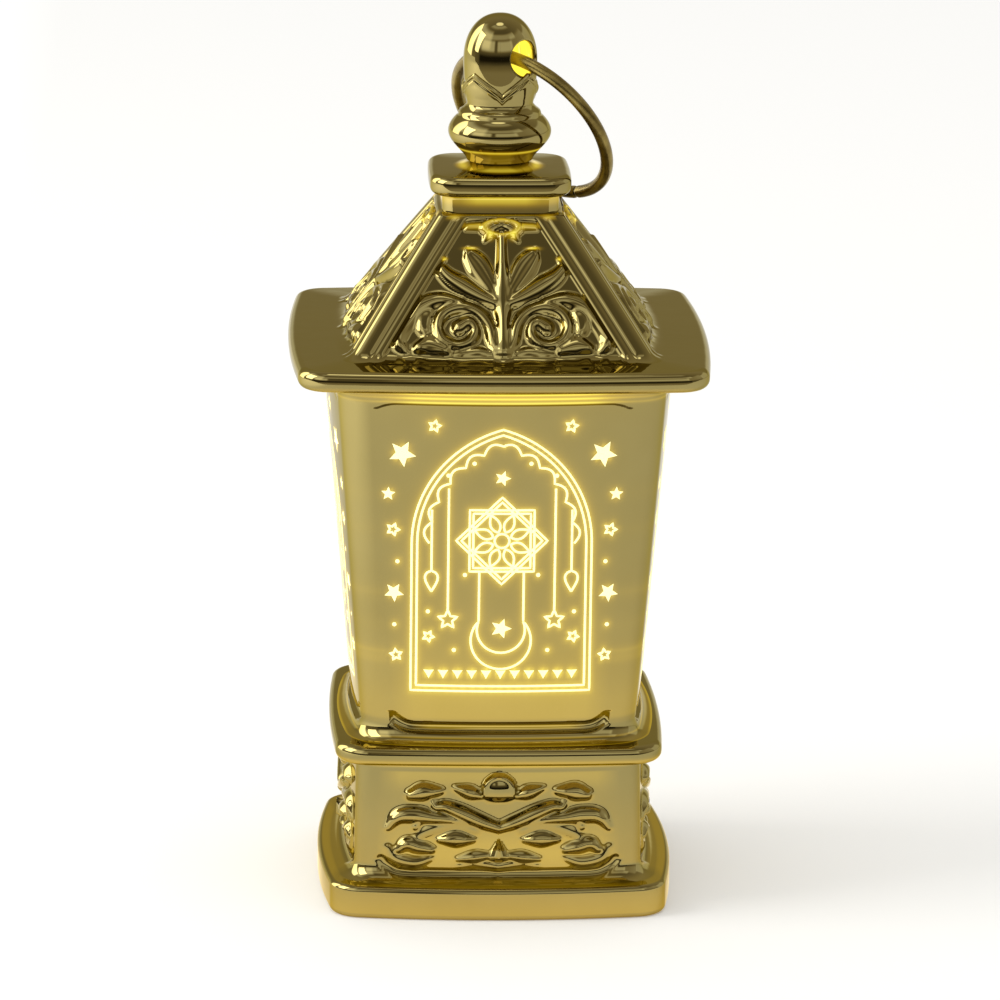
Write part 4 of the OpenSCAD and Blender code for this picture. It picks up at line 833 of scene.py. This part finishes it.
# Painted yellow light in a thin ring round the stem's lower swell
stem_part = shell_object("stem_skin", rows, 0.7 * bump_at(rows[:, :, 2], 118.5, 0.18))

psi = np.linspace(0, 2 * math.pi, 180, endpoint=False)


def furthest(passes, low, high):
    """The largest values between two that pass a test, by halving"""
    for _ in range(34):
        mid = (low + high) / 2
        good = passes(mid)
        low, high = np.where(good, mid, low), np.where(good, high, mid)
    return low


def egg_point(t, inset):
    """Points of the egg in directions from the hole's middle, at an angle t from its axis"""
    cos_t, sin_t = np.cos(t), np.sin(t)
    d = (cos_t[..., None] * hole_axis + (sin_t * np.cos(psi))[..., None] * across_axis
         + (sin_t * np.sin(psi))[..., None] * up_axis)

    def inside(reach):
        x, y, z = np.moveaxis(d * reach[..., None], -1, 0)
        z = z + hole_level
        high = np.where(z > egg_girth, tip - egg_girth - inset, egg_drop)
        r = np.hypot(x, y) / parting(np.arctan2(y, x)) / (egg_radius - inset)
        return r ** egg_power + np.abs((z - egg_girth) / high) ** egg_power < 1

    return d * furthest(inside, np.zeros(t.shape), np.full(t.shape, 12.0))[..., None]


def rim_turn(radius, inset, far):
    """Angle from the hole's axis at which the egg is at a distance from that axis"""
    def nearer(t):
        p = egg_point(math.pi - t if far else t, inset)
        return np.linalg.norm(p - (p @ hole_axis)[:, None] * hole_axis, axis=1) < radius

    turn = furthest(nearer, np.full(psi.shape, 0.05), np.full(psi.shape, 1.5))
    return math.pi - turn if far else turn


def hole_row(radius, depth, surface, sign):
    """A circle of the hole at a distance from its axis, set in from the egg's surface"""
    along = surface @ hole_axis - sign * depth
    ring = np.cos(psi)[:, None] * across_axis + np.sin(psi)[:, None] * up_axis
    return along[:, None] * hole_axis + radius * ring


def bevel(surface, sign):
    """The rounded lip of the hole, from the egg's surface inwards"""
    return [hole_row(lip_radius - (lip_radius - hole_radius) * math.sin(a), rim_depth * (1 - math.cos(a)),
                     surface, sign) for a in np.linspace(0.15, math.pi / 2, 7)]


def egg_span(radius, inset, shares):
    """Rows of the egg from one end of the hole to the other"""
    start, stop = rim_turn(radius, inset, False), rim_turn(radius, inset, True)
    return [egg_point(start + (stop - start) * s, inset) for s in shares]


outside = egg_span(lip_radius, 0.0, steps(150))
near, far = outside[0], outside[-1]
outside = bevel(near, 1)[::-1] + outside + bevel(far, -1)
core = [hole_row(hole_radius, core_depth, far, -1)] + egg_span(hole_radius, wall, steps(24)[::-1])
core.append(hole_row(hole_radius, core_depth, near, 1))
# Painted yellow light on the hole's wall, and fainter on the inner edge of its lip
light = np.zeros(len(outside + core))
light[[0, len(outside) - 1]] = 0.35
light[len(outside):] = 1.0
rows = np.array(outside + core) + hole_level * up_axis
egg_part = shell_object("egg_skin", rows, np.repeat(light[:, None], len(psi), 1))
turned_in = egg_part.data.polygons[len(psi) * 60]
if turned_in.normal.dot(Vector(turned_in.center) - Vector((0, 0, hole_level * mm))) < 0:
    egg_part.data.flip_normals()
finial_piece = joined("finial_skin", cap_part, stem_part, egg_part)
finial_piece.data.materials.append(mirror_gold)
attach(finial_piece, "lantern")
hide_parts("finial_cap")

# Carry ring. Two millimetre brass wire, drawn, cut and bent to a ring, with its butt seam open
# by a hair. It is darkened all over, and lies back loosely on the roof's rear right ridge. The
# darkened brass gives the eye a dull brown gold, uneven in tone, with a rubbed, streaky gloss.
aged_brass, tree, where = new_finish("darkened_brass_wire")
tarnish = noise(tree, where, 420, 4.0, 0.6)
spread = mapped(tree, worked(tree, "MULTIPLY", tarnish, noise(tree, where, 130)), 0.14, 0.36, 0, 1)
surfaced(tree, tarnish, 0.4, 0.00004, Base_Color=blended(tree, spread, "#6a5a30", "#9c8a4e"),
         Metallic=1.0, Roughness=mapped(tree, tarnish, 0, 1, 0.2, 0.42))

ring_radius, wire_radius, seam_turn = 0.0142, 0.001, 0.25 / 14.2
seam_place, ring_lean = 90 - 13, -57.3
group, given = new_tree("bent_wire", ring_radius=0.0142, wire_radius=0.001, gap_turn=0.0176)
sweep = worked(group, "SUBTRACT", 2 * math.pi, given["gap_turn"])
bend = add(group, "GeometryNodeCurveArc", {
    "Resolution": 420, "Radius": given["ring_radius"], "Start Angle": 0.0, "Sweep Angle": sweep},
    mode="RADIUS")
wire_round = add(group, "GeometryNodeCurvePrimitiveCircle", {
    "Resolution": 32, "Radius": given["wire_radius"]})
along = add(group, "GeometryNodeSplineParameter").outputs["Factor"]
from_end = worked(group, "MINIMUM", along, worked(group, "SUBTRACT", 1.0, along))
ease = mapped(group, from_end, 0, 0.0055, 0.86, 1.0, interpolation_type="SMOOTHSTEP")
wire_mesh = add(group, "GeometryNodeCurveToMesh", {
    "Curve": bend, "Profile Curve": wire_round, "Scale": ease, "Fill Caps": True})
end_tree(group, add(group, "GeometryNodeSetShadeSmooth", {"Geometry": wire_mesh}), aged_brass)

ring_piece = new_mesh("carry_ring_wire", [(0, 0, 0)])
grown(ring_piece, group, aged_brass, ring_radius=ring_radius, wire_radius=wire_radius, gap_turn=seam_turn)
ring_piece.data.transform(
    Matrix.Translation((0, 0, hole_level * mm)) @ Matrix.Rotation(hole_turn - math.pi / 2, 4, "Z")
    @ Matrix.Rotation(math.radians(ring_lean), 4, "X") @ Matrix.Translation((0, ring_radius, 0))
    @ Matrix.Rotation(math.radians(seam_place) + seam_turn / 2, 4, "Z"))
ring_piece.data.set_sharp_from_angle(angle=math.radians(50))
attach(ring_piece, "carry_ring")
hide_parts("carry_ring")


# Base, door, switch and light. The base plate and its door are plain moulded ivory plastic,
# screwed in from below. Cells, contacts, switch, board, lamp and wires are bought parts.
def moulded(name, colour, second, rough_low, rough_high, scale, metal=0.0, depth=0.00002, **lamp):
    """A finish with two close tones, uneven gloss and a fine surface, all on the same noise"""
    finish, tree, where = new_finish(name)
    fine = noise(tree, where, scale, 3.0)
    surfaced(tree, fine, 0.5, depth, Base_Color=blended(tree, noise(tree, where, scale / 9), colour, second),
             Metallic=metal, Roughness=mapped(tree, fine, 0, 1, rough_low, rough_high), **lamp)
    return finish


# Spark-eroded ABS: pale ivory, a light grain of about a third of a millimetre, a soft sheen
ivory_abs = moulded("textured_ivory_abs", "#ece6d6", "#e4dcc8", 0.38, 0.55, 3000)
# Plated metal: bluish zinc, white to warm nickel and pale yellow tinned brass, all bright, with
# faint rolling marks
plated_steel = moulded("zinc_plated_steel", "#b9bcc0", "#a7abb0", 0.22, 0.38, 2500, 1.0, 0.00001)
cell_can = moulded("nickel_plated_cell_can", "#c9c9c6", "#b7b7b4", 0.18, 0.32, 1800, 1.0, 0.00001)
spring_strip = moulded("nickel_plated_spring_strip", "#c4c1b6", "#b2afa4", 0.2, 0.34, 2200, 1.0, 0.00001)
tinned_brass = moulded("tinned_brass", "#c3ae6e", "#ab9a60", 0.25, 0.4, 2200, 1.0, 0.00001)
# Nylon: dull black with a fine grain for the knob, milky white for the spacer
dark_nylon = moulded("moulded_black_nylon", "#1b1b1d", "#242427", 0.4, 0.6, 2600)
clear_nylon = moulded("natural_nylon", "#efeee8", "#e6e4da", 0.35, 0.5, 2000)
# Lacquers: a satin green mask over the board's laminate, a thick tan coat on the resistor
solder_mask = moulded("green_solder_mask", "#2c6b43", "#24593a", 0.25, 0.4, 1500)
dipped_coat = moulded("dipped_resistor_coat", "#c8a566", "#bb955a", 0.3, 0.45, 1600)
# Clear epoxy of the lamp: glossy, and lit warm from inside
lit_epoxy = moulded("lit_lamp_epoxy", "#fff2cf", "#ffe9b0", 0.08, 0.16, 1500,
                    Emission_Color=linear("#ffd98a"), Emission_Strength=3.0)
# PVC insulation: plain red and black with a waxy gloss
red_pvc = moulded("red_pvc_insulation", "#b3261e", "#a11f18", 0.35, 0.5, 1400)
black_pvc = moulded("black_pvc_insulation", "#17171a", "#202023", 0.35, 0.5, 1400)
for finish, names in (
        (ivory_abs, "base_plate battery_door"),
        (plated_steel, "base_screws door_screw switch_housing led_lead_positive led_lead_negative"),
        (cell_can, "battery_cell_1 battery_cell_2 battery_cell_3"),
        (spring_strip, "positive_contact negative_contact"), (tinned_brass, "switch_terminals"),
        (dark_nylon, "switch_knob"), (clear_nylon, "led_spacer"), (solder_mask, "circuit_board"),
        (dipped_coat, "resistor"), (lit_epoxy, "led"), (red_pvc, "red_wire"),
        (black_pvc, "black_wire switch_wire")):
    for name in names.split():
        solids[name].data.materials.clear()
        solids[name].data.materials.append(finish)

# Floor, a matt white card whose front edge lies 0.33 m before the lantern. It keeps the soft
# shadow, and its own faint light makes it a clean white to the eye, in metal and in glass. It
# shows from above only, so that the lantern can be seen from below.
floor = new_mesh("floor", [(-3000, -330, 0), (3000, -330, 0), (3000, 3000, 0), (-3000, 3000, 0)],
                 faces=[(0, 1, 2, 3)])
white_card, tree, where = new_finish("matt_white_card")
card = add(tree, "ShaderNodeBsdfDiffuse", {
    "Color": blended(tree, noise(tree, where, 900), "#f4f3ef", "#f8f7f4")})
path = add(tree, "ShaderNodeLightPath").outputs
shows = worked(tree, "ADD", path["Is Camera Ray"], path["Is Glossy Ray"])
shows = worked(tree, "ADD", shows, path["Is Transmission Ray"], use_clamp=True)
# Painted daylight on the left of the card, and a painted warm pool of light round the lantern that only
# metal shows
off_left = add(tree, "ShaderNodeSeparateXYZ", {0: where}).outputs["X"]
painted_daylight = mapped(tree, off_left, -0.09, -0.2, 0.12, 0.55)
clean = add(tree, "ShaderNodeEmission", {
    "Color": (1, 1, 1, 1), "Strength": worked(tree, "MULTIPLY", shows, painted_daylight)})
off_middle = add(tree, "ShaderNodeVectorMath", {0: where}, operation="LENGTH").outputs["Value"]
pool = mapped(tree, off_middle, 0.02, 0.13, 0.5, 0.0, interpolation_type="SMOOTHSTEP")
pool = worked(tree, "MULTIPLY", pool, path["Is Glossy Ray"])
painted_warm_pool = add(tree, "ShaderNodeEmission", {"Color": linear("#ffd42c"), "Strength": pool})
lit_card = add(tree, "ShaderNodeAddShader", {0: card, 1: clean})
lit_card = add(tree, "ShaderNodeAddShader", {0: lit_card, 1: painted_warm_pool})
clear = add(tree, "ShaderNodeBsdfTransparent")
under = add(tree, "ShaderNodeNewGeometry").outputs["Backfacing"]
shown = add(tree, "ShaderNodeMixShader", {0: under, 1: lit_card, 2: clear})
add(tree, "ShaderNodeOutputMaterial", {"Surface": shown})
floor.data.materials.append(white_card)

# Studio. The gold shows only what stands round it: a plain room, pale behind the lantern and
# darker in front, with a dark band low in front and the soft patches of light that are listed
# here. The camera sees plain white, and matt surfaces get an even white light.
bpy.context.scene.view_settings.view_transform = "Standard"
world = bpy.data.worlds.new("studio")
bpy.context.scene.world = world
world.use_nodes = True
tree = world.node_tree
tree.nodes.clear()
look = add(tree, "ShaderNodeSeparateXYZ", {0: add(tree, "ShaderNodeTexCoord").outputs["Generated"]}).outputs
bearing = worked(tree, "ARCTAN2", look["X"], worked(tree, "MULTIPLY", look["Y"], -1.0))
height = worked(tree, "ARCSINE", look["Z"])


def screen(light, low_turn, high_turn, low, high, soft, strength):
    """Adds a soft-edged patch of light, given by its bearing from the front and its height"""
    cover, reach = 1.0, math.radians(soft)
    for value, start, stop in ((bearing, low_turn, high_turn), (height, low, high)):
        for edge, sign in ((math.radians(start), 1), (math.radians(stop), -1)):
            step = mapped(tree, value, edge - sign * reach, edge + sign * reach, 0, 1,
                          interpolation_type="SMOOTHSTEP")
            cover = worked(tree, "MULTIPLY", cover, step)
    return worked(tree, "MULTIPLY_ADD", cover, strength, light)


room = mapped(tree, look["Y"], -0.5, 0.6, 0.2, 0.5)
room = worked(tree, "MULTIPLY", room, screen(1.0, -62, 50, -7, 5, 4, -0.88))
for patch in (
        (-75, 60, 37, 51, 4, 0.5), (-80, 60, 70, 80, 6, 0.5),  # two strips of ceiling in front
        (-58, -14, 12, 34, 4, 0.85), (-4, 40, 12, 33, 4, 0.75),  # two panes in front
        (-190, 190, 83, 97, 2, 2.2),  # a lamp overhead
        (-200, 200, -90, -11, 3, 0.3),  # the room's floor
        (-122, -30, 16, 58, 7, 0.75), (-134, -108, -6, 44, 3, 4.2),  # left wall and its window
        (36, 100, 8, 44, 6, 0.3), (98, 136, 0, 32, 3, 0.45),  # right wall and its window
        (-190, -140, -90, 8, 3, 0.5), (140, 190, -90, 8, 3, 0.5)):  # the wall behind
    room = screen(room, *patch)
path = add(tree, "ShaderNodeLightPath").outputs
seen = add(tree, "ShaderNodeMix", {0: path["Is Glossy Ray"], 2: 0.86, 3: room}, data_type="FLOAT")
plain = worked(tree, "ADD", path["Is Camera Ray"], path["Is Transmission Ray"], use_clamp=True)
seen = add(tree, "ShaderNodeMix", {0: plain, 2: seen, 3: 1.0}, data_type="FLOAT")
paint = blended(tree, mapped(tree, seen, 0.4, 0.8, 0, 1), "#fff1d2", "#ffffff")
sky = add(tree, "ShaderNodeBackground", {"Color": paint, "Strength": seen})
add(tree, "ShaderNodeOutputWorld", {"Surface": sky})

key_data = bpy.data.lights.new("window_light", "AREA")
key_data.energy, key_data.shape, key_data.size, key_data.size_y = 3.8, "RECTANGLE", 0.45, 0.6
aimed(placed("window_light", key_data), (-0.75, -0.12, 0.5), (0, 0, 0.05))
